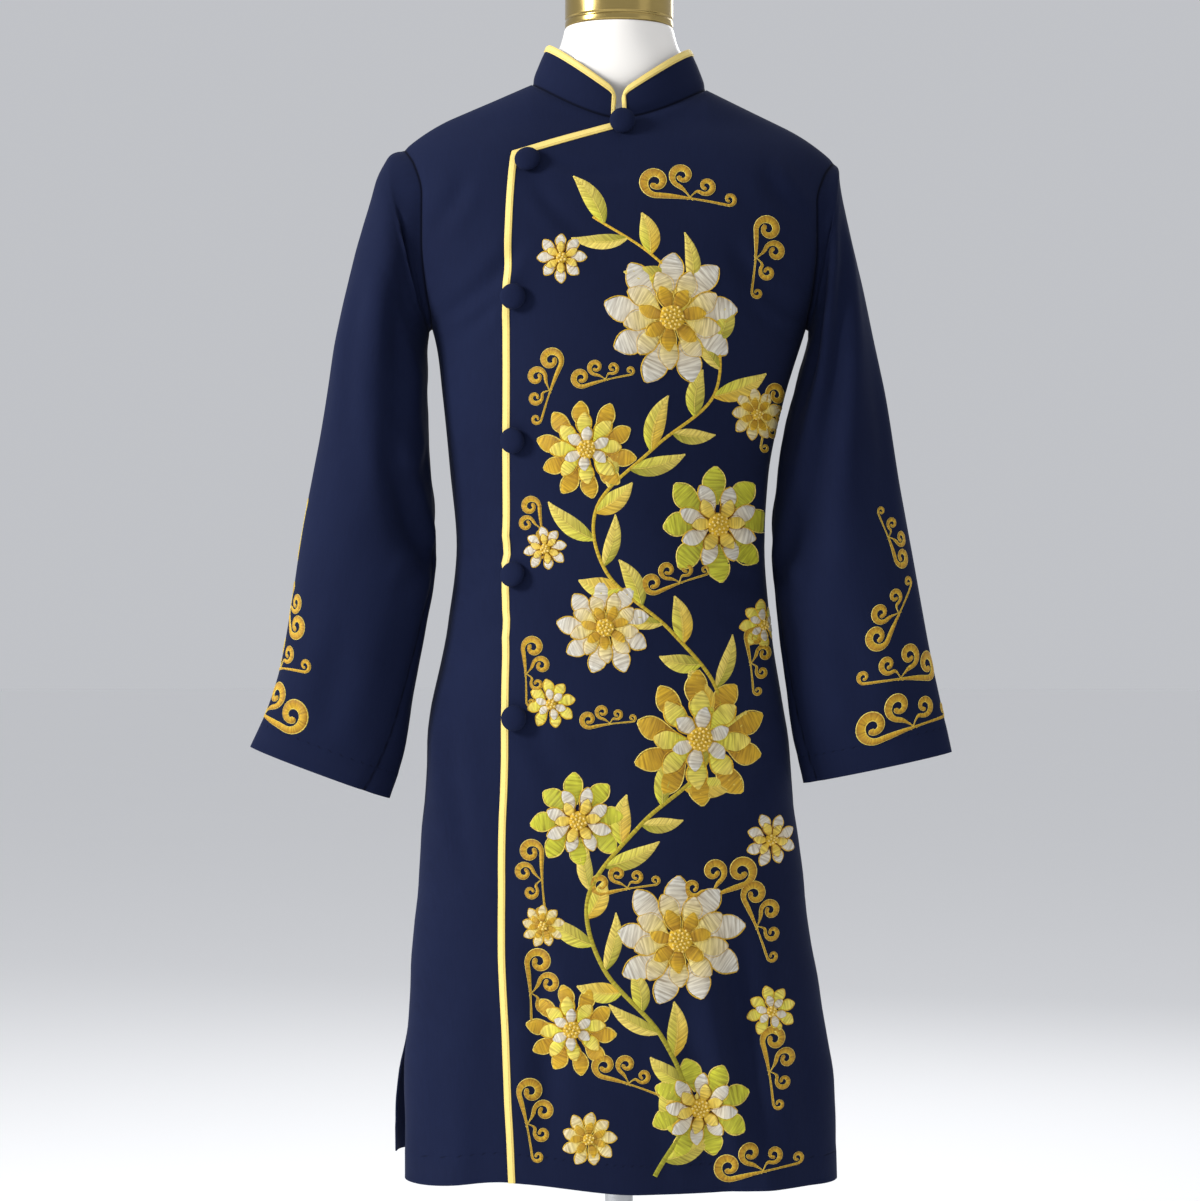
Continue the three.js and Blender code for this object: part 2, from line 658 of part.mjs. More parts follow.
// A sleeve: the armhole's points first, then flattened round sections down to the cuff.
function sleeve(sections, edges, sign) {
  const table = sections.map((row, i) => ({ ...row, station: i + 1 }));
  const loop = edges.map(edgePoint);
  const rows = [loop];
  let shares = null;
  for (let i = 0; i < SLEEVE_ROWS; i += 1) {
    const station = mix(1, table.length, i / (SLEEVE_ROWS - 1));
    const at = (key) => column(table, "station", key, station);
    const outer = new THREE.Vector3(sign * at("outX"), at("y"), at("outZ"));
    const inner = new THREE.Vector3(sign * at("inX"), at("y"), at("inZ"));
    const centre = outer.clone().lerp(inner, 0.5);
    const half = outer.clone().sub(centre);
    const span = half.length();
    shares ??= loop.map((point) => shareRound(point, centre, half, at("depth")));
    const evenness = ease(1, EVEN_FROM_STATION, station);
    rows.push(
      edges.map((_, j) => {
        const share = mix(shares[j], j / edges.length, evenness);
        const proud = sleeveFold(station, 360 * share) * ease(1, 3, station);
        const point = centre.clone();
        point.addScaledVector(half, Math.cos(2 * Math.PI * share) * (1 + proud / span));
        point.y -= Math.sin(2 * Math.PI * share) * (at("depth") + proud);
        return point;
      }),
    );
  }
  const piece = clothPiece(rows, sign, { closed: true });
  join(edges, piece, -sign);
  return piece;
}

// The panel edges round the neck, from the right front end round the back to the left one.
function neckEdge(right, left, back) {
  const top = right.points.length - 1;
  const rightEnd = right.points[0].length - 1;
  const leftStart = TRIM_COLUMNS + 1;
  const edges = [];
  for (let j = 0; j < NECK_COLUMNS; j += 1) edges.push([[right, top, rightEnd - j]]);
  edges.push([[right, top, SHOULDER_COLUMNS], [back, top, SHOULDER_COLUMNS]]);
  for (let j = 1; j < BACK_NECK_COLUMNS; j += 1) edges.push([[back, top, SHOULDER_COLUMNS + j]]);
  edges.push([
    [left, top, leftStart + NECK_COLUMNS],
    [back, top, SHOULDER_COLUMNS + BACK_NECK_COLUMNS],
  ]);
  for (let j = NECK_COLUMNS - 1; j >= 0; j -= 1) edges.push([[left, top, leftStart + j]]);
  return edges;
}

// The collar's top edge above a foot point, at a distance from the nearer front end.
function collarTop(foot, fromEnd) {
  const share = clamp(foot.x / NECK_SIDE_X, -1, 1);
  const front = foot.y < 0;
  const x = COLLAR.topHalfWidth * share;
  const deep = Math.sqrt(1 - share * share);
  const z = front
    ? mix(COLLAR.frontTopZ, COLLAR.sideTopZ, Math.abs(share))
    : mix(COLLAR.backTopZ, COLLAR.sideTopZ, share * share);
  const y = front ? -COLLAR.topFront * deep : COLLAR.topBack * deep;
  const top = new THREE.Vector3(x, y, z - COLLAR.tilt * x);
  const r = COLLAR.cornerRadius;
  const cut = fromEnd < r ? r - Math.sqrt(r * r - (r - fromEnd) ** 2) : 0;
  return top.lerp(foot, cut / top.distanceTo(foot));
}

function collarPiece(edges) {
  const feet = edges.map(edgePoint);
  const cells = edges.map((edge) => edge);
  const split = (a, b) => COLLAR_END_SPLIT.slice(1).map((share) => a.clone().lerp(b, share));
  const end = feet.length - 1;
  const startFeet = split(feet[0], feet[1]);
  const endFeet = split(feet[end], feet[end - 1]).reverse();
  feet.splice(end, 0, ...endFeet);
  cells.splice(end, 0, ...endFeet.map(() => []));
  feet.splice(1, 0, ...startFeet);
  cells.splice(1, 0, ...startFeet.map(() => []));
  const lines = feet.map((foot) => {
    const fromEnd = Math.min(foot.distanceTo(feet[0]), foot.distanceTo(feet[feet.length - 1]));
    return { foot, top: collarTop(foot, fromEnd) };
  });
  const rows = COLLAR_LEVELS.map((level) =>
    lines.map(({ foot, top }) => {
      const point = foot.clone().lerp(top, level);
      const out = new THREE.Vector3(point.x, point.y, 0).normalize();
      return point.addScaledVector(out, COLLAR.bulge * Math.sin(Math.PI * level));
    }),
  );
  const piece = clothPiece(rows, -1, { thickness: COLLAR.thickness });
  join(cells, piece, 1);
  settle(piece, 0, 3);
  settle(piece, feet.length - 1, feet.length - 4);
  return piece;
}

// The extra foot points near a front end lie between the joined ones.
function settle(piece, from, to) {
  const step = Math.sign(to - from);
  COLLAR_END_SPLIT.slice(1).forEach((share, i) => {
    const k = from + step * (i + 1);
    piece.points[0][k] = piece.points[0][from].clone().lerp(piece.points[0][to], share);
    piece.normals[0][k] = piece.normals[0][from].clone().lerp(piece.normals[0][to], share);
  });
}

// The collar's trim lies beside its two ends and its top edge.
function collarTrim(piece) {
  const top = piece.points.length - 1;
  const end = piece.points[0].length - 1;
  const wide = TRIM_COLLAR_COLUMN;
  const pairs = [];
  for (let i = 0; i < top - 1; i += 1) pairs.push([[i, 0], [i, wide]]);
  for (let j = 0; j <= end; j += 1) pairs.push([[top, j], [top - 1, clamp(j, wide, end - wide)]]);
  for (let i = top - 2; i >= 0; i -= 1) pairs.push([[i, end], [i, end - wide]]);
  return trimWall(piece, pairs, COLLAR_TRIM_GAP);
}

// The point of a piece's faceted outer face at a place in the front view, and the way out.
function surfaceAt(piece, x, z) {
  const { points } = piece;
  for (let i = 0; i < points.length - 1; i += 1) {
    for (let j = 0; j < points[i].length - 1; j += 1) {
      const [a, b, c, d] = [points[i][j], points[i][j + 1], points[i + 1][j + 1], points[i + 1][j]];
      for (const [p, q, r] of [[a, b, c], [a, c, d]]) {
        const area = (q.x - p.x) * (r.z - p.z) - (r.x - p.x) * (q.z - p.z);
        const u = ((x - p.x) * (r.z - p.z) - (r.x - p.x) * (z - p.z)) / area;
        const v = ((q.x - p.x) * (z - p.z) - (x - p.x) * (q.z - p.z)) / area;
        if (u < 0 || v < 0 || u + v > 1) continue;
        const out = q.clone().sub(p).cross(r.clone().sub(p)).normalize();
        return { at: new THREE.Vector3(x, p.y + u * (q.y - p.y) + v * (r.y - p.y), z), out };
      }
    }
  }
  throw new Error(`no cloth under the button at ${x}, ${z}`);
}

// A domed button on its shank, turned to face out of the cloth. One at the neck also rests on
// the collar's foot, so it stands further off and more upright.
function buttonMesh(piece, { x, z, upright, proud }) {
  const { at, out } = surfaceAt(piece, x, z);
  const axis = new THREE.Vector3(out.x, out.y, out.z * (1 - upright)).normalize();
  const foot = BUTTON_SEAT + BUTTON.shank * Math.tan(axis.angleTo(out));
  const under = BUTTON.standOff + proud;
  const profile = [
    [0, foot],
    [BUTTON.shank, foot],
    [BUTTON.shank, under],
    [BUTTON.radius - BUTTON.edge, under],
    [BUTTON.radius, under + BUTTON.rim / 2],
  ];
  for (let i = 0; i < BUTTON.domeSteps; i += 1) {
    const angle = (Math.PI / 2) * (i / BUTTON.domeSteps);
    const height = under + BUTTON.rim + BUTTON.dome * Math.sin(angle);
    profile.push([BUTTON.radius * Math.cos(angle), height]);
  }
  profile.push([0, under + BUTTON.rim + BUTTON.dome]);
  const mesh = new THREE.Mesh(lathe(profile, BUTTON.sides), navy);
  mesh.position.copy(at);
  mesh.quaternion.setFromUnitVectors(new THREE.Vector3(0, 1, 0), axis);
  return mesh;
}

// How far out the shoulder line reaches at a height, towards one arm.
function shoulderReach(z, sign) {
  let low = NECK_SIDE_X;
  let high = FORM.armPlateX;
  for (let i = 0; i < 24; i += 1) {
    const middle = (low + high) / 2;
    if (shoulderLine(sign * middle) > z) low = middle;
    else high = middle;
  }
  return low;
}

// The dress form: closed sections that stay inside the cloth, then a round neck.
function formSection(z) {
  const gap = column(FORM_EASE, "z", "ease", z) + CLOTH;
  const level = z + FORM.shoulderDrop;
  const reach = (sign) => {
    const side = sign * centreAt(z) + halfWidthAt(z) - gap;
    return Math.min(side, shoulderReach(level, sign));
  };
  const half = (reach(1) + reach(-1)) / 2;
  const middle = (reach(1) - reach(-1)) / 2;
  return Array.from({ length: FORM.sides }, (_, j) => {
    const angle = (2 * Math.PI * j) / FORM.sides;
    const x = middle + half * Math.cos(angle);
    const side = Math.sin(angle) < 0 ? 1 : -1;
    const deep = fullDepthAt(level, side) * roundness(x, level) * ridge(x, level, side);
    const fromEnd = half * (1 - Math.abs(Math.cos(angle)));
    const inEnd = clamp(1 - fromEnd / FORM.endRound, 0, 1);
    const round = Math.sqrt(1 - inEnd * inEnd);
    return new THREE.Vector3(x, side * Math.max(0, deep - gap) * round, z);
  });
}

function neckSection(z) {
  return Array.from({ length: FORM.sides }, (_, j) => {
    const angle = (2 * Math.PI * j) / FORM.sides;
    return new THREE.Vector3(
      column(NECK_RINGS, "z", "halfWidth", z) * Math.cos(angle),
      -column(NECK_RINGS, "z", "depth", z) * Math.sin(angle),
      z,
    );
  });
}

function formGeometry() {
  const [low, high] = FORM.neckBlend;
  const body = FORM_LEVELS.map((z, i) => {
    const shrink = i === 0 ? FORM.footShrink : 1;
    const neck = neckSection(z);
    return formSection(z).map((point, j) => {
      const shape = new THREE.Vector3(point.x * shrink, point.y * shrink, point.z);
      return shape.lerp(neck[j], ease(low, high, z));
    });
  });
  return loft([...body, ...NECK_LEVELS.map(neckSection)]);
}

// A closed solid through rings of points, with flat ends.
function loft(rows) {
  const count = rows[0].length;
  const positions = [];
  for (let i = 0; i < rows.length - 1; i += 1) {
    for (let j = 0; j < count; j += 1) {
      const k = (j + 1) % count;
      positions.push(rows[i][j], rows[i + 1][k], rows[i][k]);
      positions.push(rows[i][j], rows[i + 1][j], rows[i + 1][k]);
    }
  }
  const cap = (ring, flip) => {
    const middle = ring.reduce((sum, p) => sum.add(p), new THREE.Vector3()).divideScalar(count);
    ring.forEach((p, j) => {
      const q = ring[(j + 1) % count];
      positions.push(middle, ...(flip ? [p, q] : [q, p]));
    });
  };
  cap(rows[0], true);
  cap(rows[rows.length - 1], false);
  return new THREE.BufferGeometry().setFromPoints(positions);
}

// A turned piece from (radius, height) pairs: lathe stands it on Y, and turned on Z.
function lathe(profile, sides) {
  const points = profile.map(([radius, height]) => new THREE.Vector2(radius, height));
  return new THREE.LatheGeometry(points, sides);
}

const turned = (profile, sides) => lathe(profile, sides).rotateX(Math.PI / 2);

function material(color, roughness, metalness = 0) {
  return new THREE.MeshStandardMaterial({ color, roughness, metalness });
}

const navy = material(0x1b2140, 0.82);
const gold = material(0xf2d873, 0.6);
const shell = material(0xece4d8, 0.45);
const brass = material(0xb39a55, 0.25, 1);
const steel = material(0xb9bcc0, 0.3, 1);

const garment = new THREE.Group();

function addPiece(name, geometry, finish) {
  const mesh = new THREE.Mesh(geometry, finish);
  mesh.name = name;
  garment.add(mesh);
  return mesh;
}

const left = leftFront();
const right = rightFront();
const back = backPanel();
const rightSleeve = sleeve(RIGHT_SLEEVE, armholeEdge(right, back, -1), -1);
const leftSleeve = sleeve(LEFT_SLEEVE, armholeEdge(left, back, 1), 1);
const collar = collarPiece(neckEdge(right, left, back));
addPiece("front_left", clothWall(left), navy);
addPiece("front_right", clothWall(right), navy);
addPiece("back", clothWall(back), navy);
addPiece("sleeve_right", clothWall(rightSleeve), navy);
addPiece("sleeve_left", clothWall(leftSleeve), navy);
addPiece("collar", clothWall(collar), navy);
addPiece("collar_trim", collarTrim(collar), gold);
addPiece("front_trim", frontTrim(left), gold);
for (const place of BUTTON_PLACES) {
  const button = buttonMesh(left, place);
  button.name = `button_${place.name}`;
  garment.add(button);
}

addPiece("form_torso", formGeometry(), shell);
const capProfile = [
  [0, 0],
  [CAP.radius, 0],
  [CAP.radius, CAP.height - CAP.round],
  [CAP.radius - 0.3 * CAP.round, CAP.height - 0.3 * CAP.round],
  [CAP.radius - CAP.round, CAP.height],
  [0, CAP.height],
];
addPiece("neck_cap", turned(capProfile, CAP.sides), brass).position.z = FORM.neckTopZ + SEAT;
const disc = (radius, height) => [[0, 0], [radius, 0], [radius, height], [0, height]];
const flangeZ = FORM.bottomZ - SEAT - FLANGE.thickness;
addPiece("pole_flange", turned(disc(FLANGE.radius, FLANGE.thickness), FLANGE.sides), steel)
  .position.z = flangeZ;
const hubTop = BASE.thickness + BASE.hubHeight;
const poleHeight = flangeZ - hubTop - 2 * SEAT;
addPiece("pole", turned(disc(POLE.radius, poleHeight), POLE.sides), steel).position.z = hubTop + SEAT;
const baseProfile = [
  [0, 0],
  [BASE.radius, 0],
  [BASE.radius, BASE.thickness - BASE.round],
  [BASE.radius - BASE.round, BASE.thickness],
  [BASE.hubRadius, BASE.thickness],
  [BASE.hubTopRadius, hubTop],
  [0, hubTop],
];
addPiece("stand_base", turned(baseProfile, BASE.sides), steel);

export default garment;
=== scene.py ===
"""Looks of a side-fastened ao dai tunic on a limbless dress form: cloth, sewing, embroidery,
buttons, form, stand and studio.

The file is a small add-on that is run as a script. Each operator makes one piece or one group
of like pieces, and main() calls them in order. Lengths in the garment's functions and tables are
millimetres, angles are degrees, +Z is up and the wearer faces -Y. Meshes are made in metres.
"""
import math
from functools import lru_cache

import bpy
import numpy as np
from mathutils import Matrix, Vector
from mathutils.bvhtree import BVHTree


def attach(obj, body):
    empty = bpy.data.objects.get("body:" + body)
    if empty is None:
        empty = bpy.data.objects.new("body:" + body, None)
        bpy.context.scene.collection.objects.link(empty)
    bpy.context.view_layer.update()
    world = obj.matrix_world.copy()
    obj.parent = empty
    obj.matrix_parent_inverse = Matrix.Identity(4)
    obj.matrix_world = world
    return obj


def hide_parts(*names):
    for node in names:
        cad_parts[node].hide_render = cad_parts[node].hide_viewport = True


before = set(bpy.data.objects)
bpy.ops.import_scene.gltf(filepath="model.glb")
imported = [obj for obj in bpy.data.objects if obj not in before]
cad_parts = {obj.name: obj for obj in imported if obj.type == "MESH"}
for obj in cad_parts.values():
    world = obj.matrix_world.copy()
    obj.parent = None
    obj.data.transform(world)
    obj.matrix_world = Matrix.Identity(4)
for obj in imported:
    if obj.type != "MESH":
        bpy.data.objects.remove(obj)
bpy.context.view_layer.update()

bl_info = {
    "name": "Ao dai on a dress form",
    "version": (1, 0, 0),
    "blender": (4, 5, 0),
    "location": "3D View > Sidebar > Ao dai",
    "description": "Builds a side-fastened tunic on a limbless dress form, piece by piece",
    "category": "Object",
}

MM = 0.001
# Edges that turn by more than this are drawn sharp.
SHARP_DEGREES = 55


# Sizes and colours that the operators read.

def length(name, description, default):
    return bpy.props.FloatProperty(
        name=name, description=description, default=default, min=0.0, unit="LENGTH", precision=4
    )


def colour(name, description, default):
    return bpy.props.FloatVectorProperty(
        name=name, description=description, default=default, size=3, min=0.0, max=1.0,
        subtype="COLOR",
    )


class GarmentSizes(bpy.types.PropertyGroup):
    """Sizes of the cloth and its sewing."""

    cloth: length("Cloth", "Thickness of the cloth's wall", 0.0016)
    collar: length("Collar", "Thickness of the interfaced collar", 0.002)
    seam_gap: length("Seam gap", "Space between two joined edges", 0.0002)
    ditch: length("Seam ditch", "How far a seam sinks into the cloth", 0.0011)
    hem: length("Hem", "Depth of the hem that is turned up", 0.028)
    facing: length("Facing", "Width of the turned slit edges", 0.014)
    cuff: length("Cuff hem", "Depth of the hem in a cuff", 0.026)
    trim_width: length("Trim width", "Width of the yellow bands", 0.007)
    trim_thickness: length("Trim thickness", "Thickness of the yellow bands", 0.0012)
    trim_gap: length("Trim gap", "Space under the yellow bands", 0.0001)
    stitch: length("Stitch", "Length of one topstitch", 0.0026)
    stitch_step: length("Stitch step", "From one topstitch to the next", 0.0036)
    thread: length("Thread", "Thickness of the sewing thread", 0.0004)
    satin: length("Satin height", "How proud the embroidery's satin stitch stands", 0.0008)


class GarmentColours(bpy.types.PropertyGroup):
    """Colours of the materials, as linear values."""

    # The cloth lit and in shade: the weave's tone is painted between these two. Part of it is
    # painted light on the fibres and twill with painted shade between them, and part is random
    # clouding and slubs. A third of the deep one is the seams' painted shade.
    cloth: colour("Cloth", "Cloth where its fibres catch the light", (0.0105, 0.0165, 0.051))
    cloth_deep: colour("Cloth, deep", "Cloth between its fibres", (0.0045, 0.0062, 0.020))
    trim: colour("Trim", "Yellow band", (0.88, 0.70, 0.20))
    # Painted shade: the band's colour in its folds and at its edges, which its random clouding
    # also reaches.
    trim_shade_and_clouding: colour("Trim, deep", "Yellow band in its folds", (0.62, 0.40, 0.07))
    old_gold: colour("Old gold", "Deep gold thread", (0.36, 0.165, 0.009))
    gold: colour("Gold", "Gold thread", (0.80, 0.50, 0.026))
    pale_gold: colour("Pale gold", "Pale gold thread", (0.93, 0.74, 0.15))
    lemon: colour("Lemon", "Lemon thread", (0.74, 0.73, 0.05))
    olive: colour("Olive", "Olive thread", (0.38, 0.37, 0.022))
    ivory: colour("Ivory", "Ivory thread", (0.78, 0.67, 0.44))
    white: colour("White", "White thread", (0.76, 0.74, 0.66))
    shell: colour("Form shell", "Glossy shell of the dress form", (0.38, 0.35, 0.30))
    brass: colour("Brass", "Cap of the neck", (0.50, 0.37, 0.13))
    steel: colour("Steel", "Stand", (0.48, 0.49, 0.50))
    floor: colour("Floor", "Studio floor", (0.985, 0.985, 0.985))


class StudioSizes(bpy.types.PropertyGroup):
    """Camera and floor."""

    distance: length("Distance", "From the camera to the middle of the garment", 3.0)
    height: length("Height", "Height of the camera", 0.96)
    sideways: length("Sideways", "How far the camera stands to the wearer's right", 0.019)
    lens: bpy.props.FloatProperty(
        name="Lens", description="Focal length in millimetres", default=89.93, min=10.0
    )
    floor: length("Floor", "Radius of the floor", 30.0)


def sizes():
    return bpy.context.scene.garment_sizes


def colours():
    return bpy.context.scene.garment_colours


def studio():
    return bpy.context.scene.garment_studio


# The garment's named sizes.

HEM_Z = 386
BACK_HEM_Z = 402
SLIT_TOP_Z = 870
ARMPIT_Z = 1230
NECK_SIDE_X = 87
NECK_SIDE_Z = 1472
FRONT_NECK_Z = 1433
BACK_NECK_Z = 1476
SHOULDER_X = 215
SHOULDER_SLOPE = 0.4545
SHOULDER_DROOP = 0.004
DROOP_FROM_X = 165
SHOULDER_TILT = 0.03
NECK_FRONT_DEPTH = 62
NECK_BACK_DEPTH = 61
RIDGE_DEPTH = 80
ROUNDNESS = 2.2
CORNER_X = -109
CORNER_Z = 1397
CORNER_CUT = 3
TOP_TRIM_X = -102
TRIM_END_X = -4
RIGHT_NECK_X = -4
LEFT_NECK_X = 3
LAP_WIDTH = 40
LAP_LIFT = 2.6
# The left front is lifted over the right one, and the lift fades out between these two x.
LAP_FADE = (5, 75)
# The slanting edge ends this far below the neckline, and steps up to it past its band.
NECK_STEP = 3
# Where the strip under the left front starts to turn towards the neck.
LAP_TURN_Z = 1270
# How much the front hems rise towards the closure.
HEM_RISE = 9
# How fast the long folds grow from the side seams inwards.
FOLD_FADE = 1.6
# Walls that meet at an angle grow thicker there, but no more than this.
MOST_MITRE = 1.3
# The first row above the armpit keeps this far below the shoulder line.
ROW_DROP = 150
# Points this close to the side plane belong to a side seam or a shoulder seam.
SEAM_NEAR = 0.6
# Marks for the shader stop counting here: millimetres from a seam, and hem depths.
SEAM_MARK = 60
HEM_MARK = 3
# A distance that stands for no seam at all.
FAR = 400
# Within this distance of a seam the cloth is drawn smooth.
SEAM_CALM = 12
# How far a turned hem stands out, and where round its depth that fades.
HEM_PROUD = 0.35
HEM_SOFT = (-3, 5)
# The ditch of a seam, and the lip beside it as a share of the ditch's depth.
DITCH_WIDTH = 4.5
LIP_SHARE = 0.28
LIP_AT = 10
LIP_WIDTH = 6

# How finely each span of the garment is cut, and the spans themselves.
FINE = 5
SLIT_ROWS = 46
SIDE_ROWS = 8 * FINE
ROWS_ABOVE = 11 * FINE
SHOULDER_COLUMNS = 6 * FINE
NECK_COLUMNS = 8 * FINE
BACK_NECK_COLUMNS = 12 * FINE
TRIM_COLUMNS = 8 * FINE
COLLAR_ROWS = 18
BAND_ACROSS = 7
BAND_INSET = 0.12
# The rounded edges of a band, as a share of its width, and the millimetres of ribbing across it.
BAND_ROUND = 0.18
BAND_RIBBING = 7
SLEEVE_ROWS = 20
EVEN_FROM_STATION = 6


def table(names, *rows):
    """A short table with named columns."""
    return dict(zip(names.split(), np.array(rows, float).T))


CLOSURE_LINE = table(
    "z x",
    (386, -108), (480, -112), (660, -118), (850, -114), (1230, -113), (1397, -109),
)

# Rings of the body: the width is what the cloth would have without the armholes.
BODY_RINGS = table(
    "z half middle front back",
    (380, 215, 2, 99, 100), (480, 214, 0, 101, 104), (560, 205, -4, 105, 110),
    (660, 194, -8, 109, 116), (760, 184, -10, 112, 120), (835, 178, -12, 111, 120),
    (935, 161, -10, 105, 106), (1015, 153.5, -8.5, 102, 96), (1085, 158.5, -9.5, 107, 101),
    (1160, 170, -5.5, 115, 112), (1230, 186, 0, 118, 118), (1252, 196, 0, 117, 119),
    (1276, 206, 0, 115, 119), (1305, 214, 0, 111, 117), (1360, 219, 0, 97, 108),
    (1407, 232, 0, 77, 94), (1435, 232, 0, 65, 86), (1480, 232, 0, 60, 76),
)

ARMHOLE = table(
    "share x z",
    (0, 186, 1230), (0.12, 187, 1240), (0.25, 191, 1264), (0.45, 195, 1310), (0.68, 195, 1355),
    (0.86, 203, 1385), (1, 215, 1403.824),
)

# Long soft folds, from the foot to the head of each. Those of side -1 are in front.
BODY_FOLDS = table(
    "side foot_x foot_z head_x head_z width proud",
    (-1, 150, 380, 118, 720, 17, 7),
    (-1, 106, 380, 88, 640, 15, -4),
    (-1, 190, 380, 160, 640, 14, -4),
    (-1, 10, 380, 0, 700, 42, 4),
    (-1, -160, 380, -140, 660, 20, 4),
    (-1, -178, 1150, -120, 1010, 12, -3),
    (-1, 168, 1150, 110, 1010, 12, -3),
    (1, -120, 390, -90, 760, 22, 7),
    (1, -60, 390, -44, 760, 20, -5),
    (1, 0, 390, 0, 760, 24, 6),
    (1, 62, 390, 46, 760, 20, -5),
    (1, 118, 390, 92, 760, 22, 7),
)

# Creases in the front view, with the bow of each line and its depth.
BODY_CREASES = table(
    "side x1 z1 x2 z2 bow width depth",
    (-1, -176, 1236, -96, 1306, 8, 9, 1.9),
    (-1, -170, 1214, -112, 1262, 5, 8, 1.4),
    (-1, 178, 1238, 108, 1300, -9, 10, 2.1),
    (-1, 172, 1216, 118, 1258, -6, 8, 1.5),
    (-1, -84, 1368, -20, 1304, 7, 8, 1.0),
    (-1, -74, 1392, 6, 1372, 5, 7, 0.8),
    (-1, 186, 1330, 140, 1384, -6, 10, 1.3),
    (-1, -190, 1318, -150, 1378, 6, 10, 1.3),
    (-1, -152, 1002, -86, 1022, 6, 7, 1.7),
    (-1, -150, 968, -96, 990, -5, 7, 1.3),
    (-1, 140, 1010, 76, 1030, -6, 8, 1.7),
    (-1, 138, 972, 70, 992, 5, 7, 1.4),
    (-1, 142, 934, 96, 950, -4, 8, 1.1),
    (-1, -146, 930, -104, 946, 4, 8, 1.0),
    (-1, -92, 860, -40, 780, 10, 12, 1.2),
    (-1, 150, 872, 112, 740, -12, 12, 1.6),
    (-1, -168, 860, -146, 700, 6, 10, 1.5),
    (-1, 108, 660, 158, 372, 8, 17, 5.5),
    (-1, 60, 560, 84, 372, -8, 15, 2.6),
    (-1, -84, 640, -72, 400, -6, 14, 2.2),
    (1, -176, 1236, -104, 1316, 10, 10, 2.0),
    (1, 176, 1240, 110, 1308, -10, 10, 2.0),
    (1, -150, 1010, -60, 1036, 8, 8, 1.9),
    (1, 142, 1004, 50, 1030, -8, 8, 1.8),
    (1, -140, 968, -40, 990, 6, 9, 1.5),
    (1, 136, 958, 30, 984, -6, 9, 1.6),
    (1, -90, 1420, -30, 1366, 6, 8, 0.9),
    (1, 88, 1414, 30, 1360, -6, 8, 0.9),
    (1, -150, 860, -120, 700, 8, 12, 1.6),
    (1, 144, 864, 120, 690, -8, 12, 1.6),
)

# How much deeper the creases of the body are made than their table says.
CREASE_DEPTH = 2.0

# Broad unevenness of hanging cloth: waves of a length and a heading, in all pieces.
RIPPLES = table(
    "length heading phase height",
    (173, 12, 0.4, 0.55), (121, 97, 2.1, 0.40), (83, 41, 4.4, 0.30), (61, 152, 1.3, 0.22),
    (44, 74, 5.2, 0.14), (31, 8, 3.3, 0.09),
)

# How far the panel edges swing out of the side line below the slits.
SLIT_SWING = {(-1, "right"): 8, (-1, "left"): 6, (1, "right"): 44, (1, "left"): 24}
BACK_FLARE = {"right": 13, "left": -4}

SLEEVES = {
    -1: table(
        "out_x out_z in_x in_z depth y",
        (228, 1405, 189, 1228, 53, 0),
        (239, 1388, 190.5, 1220, 57, 0),
        (249.5, 1354, 191.5, 1208, 60, 0),
        (261, 1316, 191.5, 1192, 61, -1),
        (272, 1270, 191, 1170, 61, -2),
        (284, 1216, 190.5, 1138, 60, -4),
        (293.5, 1150, 188.5, 1096, 59, -6),
        (305, 1086, 183.5, 1046, 57, -8),
        (317, 1020, 184, 992, 54, -11),
        (325.5, 960, 193.5, 930, 50, -14),
        (335.5, 900, 204, 866, 44, -17),
        (349, 854, 214, 811, 37, -19),
        (366, 815, 228, 764, 29, -21),
    ),
    1: table(
        "out_x out_z in_x in_z depth y",
        (218.5, 1392, 189, 1228, 53, 0),
        (221, 1374, 189.5, 1219, 57, 0),
        (226.5, 1344, 186, 1204, 60, 0),
        (235.5, 1305, 180, 1186, 61, -1),
        (247, 1255, 173, 1160, 61, -2),
        (258, 1200, 165, 1126, 60, -4),
        (269, 1140, 157, 1082, 59, -6),
        (279.5, 1076, 153, 1034, 57, -8),
        (291, 1012, 155.5, 980, 54, -11),
        (301, 954, 160, 922, 50, -14),
        (310.5, 902, 167, 868, 45, -17),
        (321, 852, 175, 816, 38, -19),
        (330, 810, 183, 779, 30, -21),
    ),
}

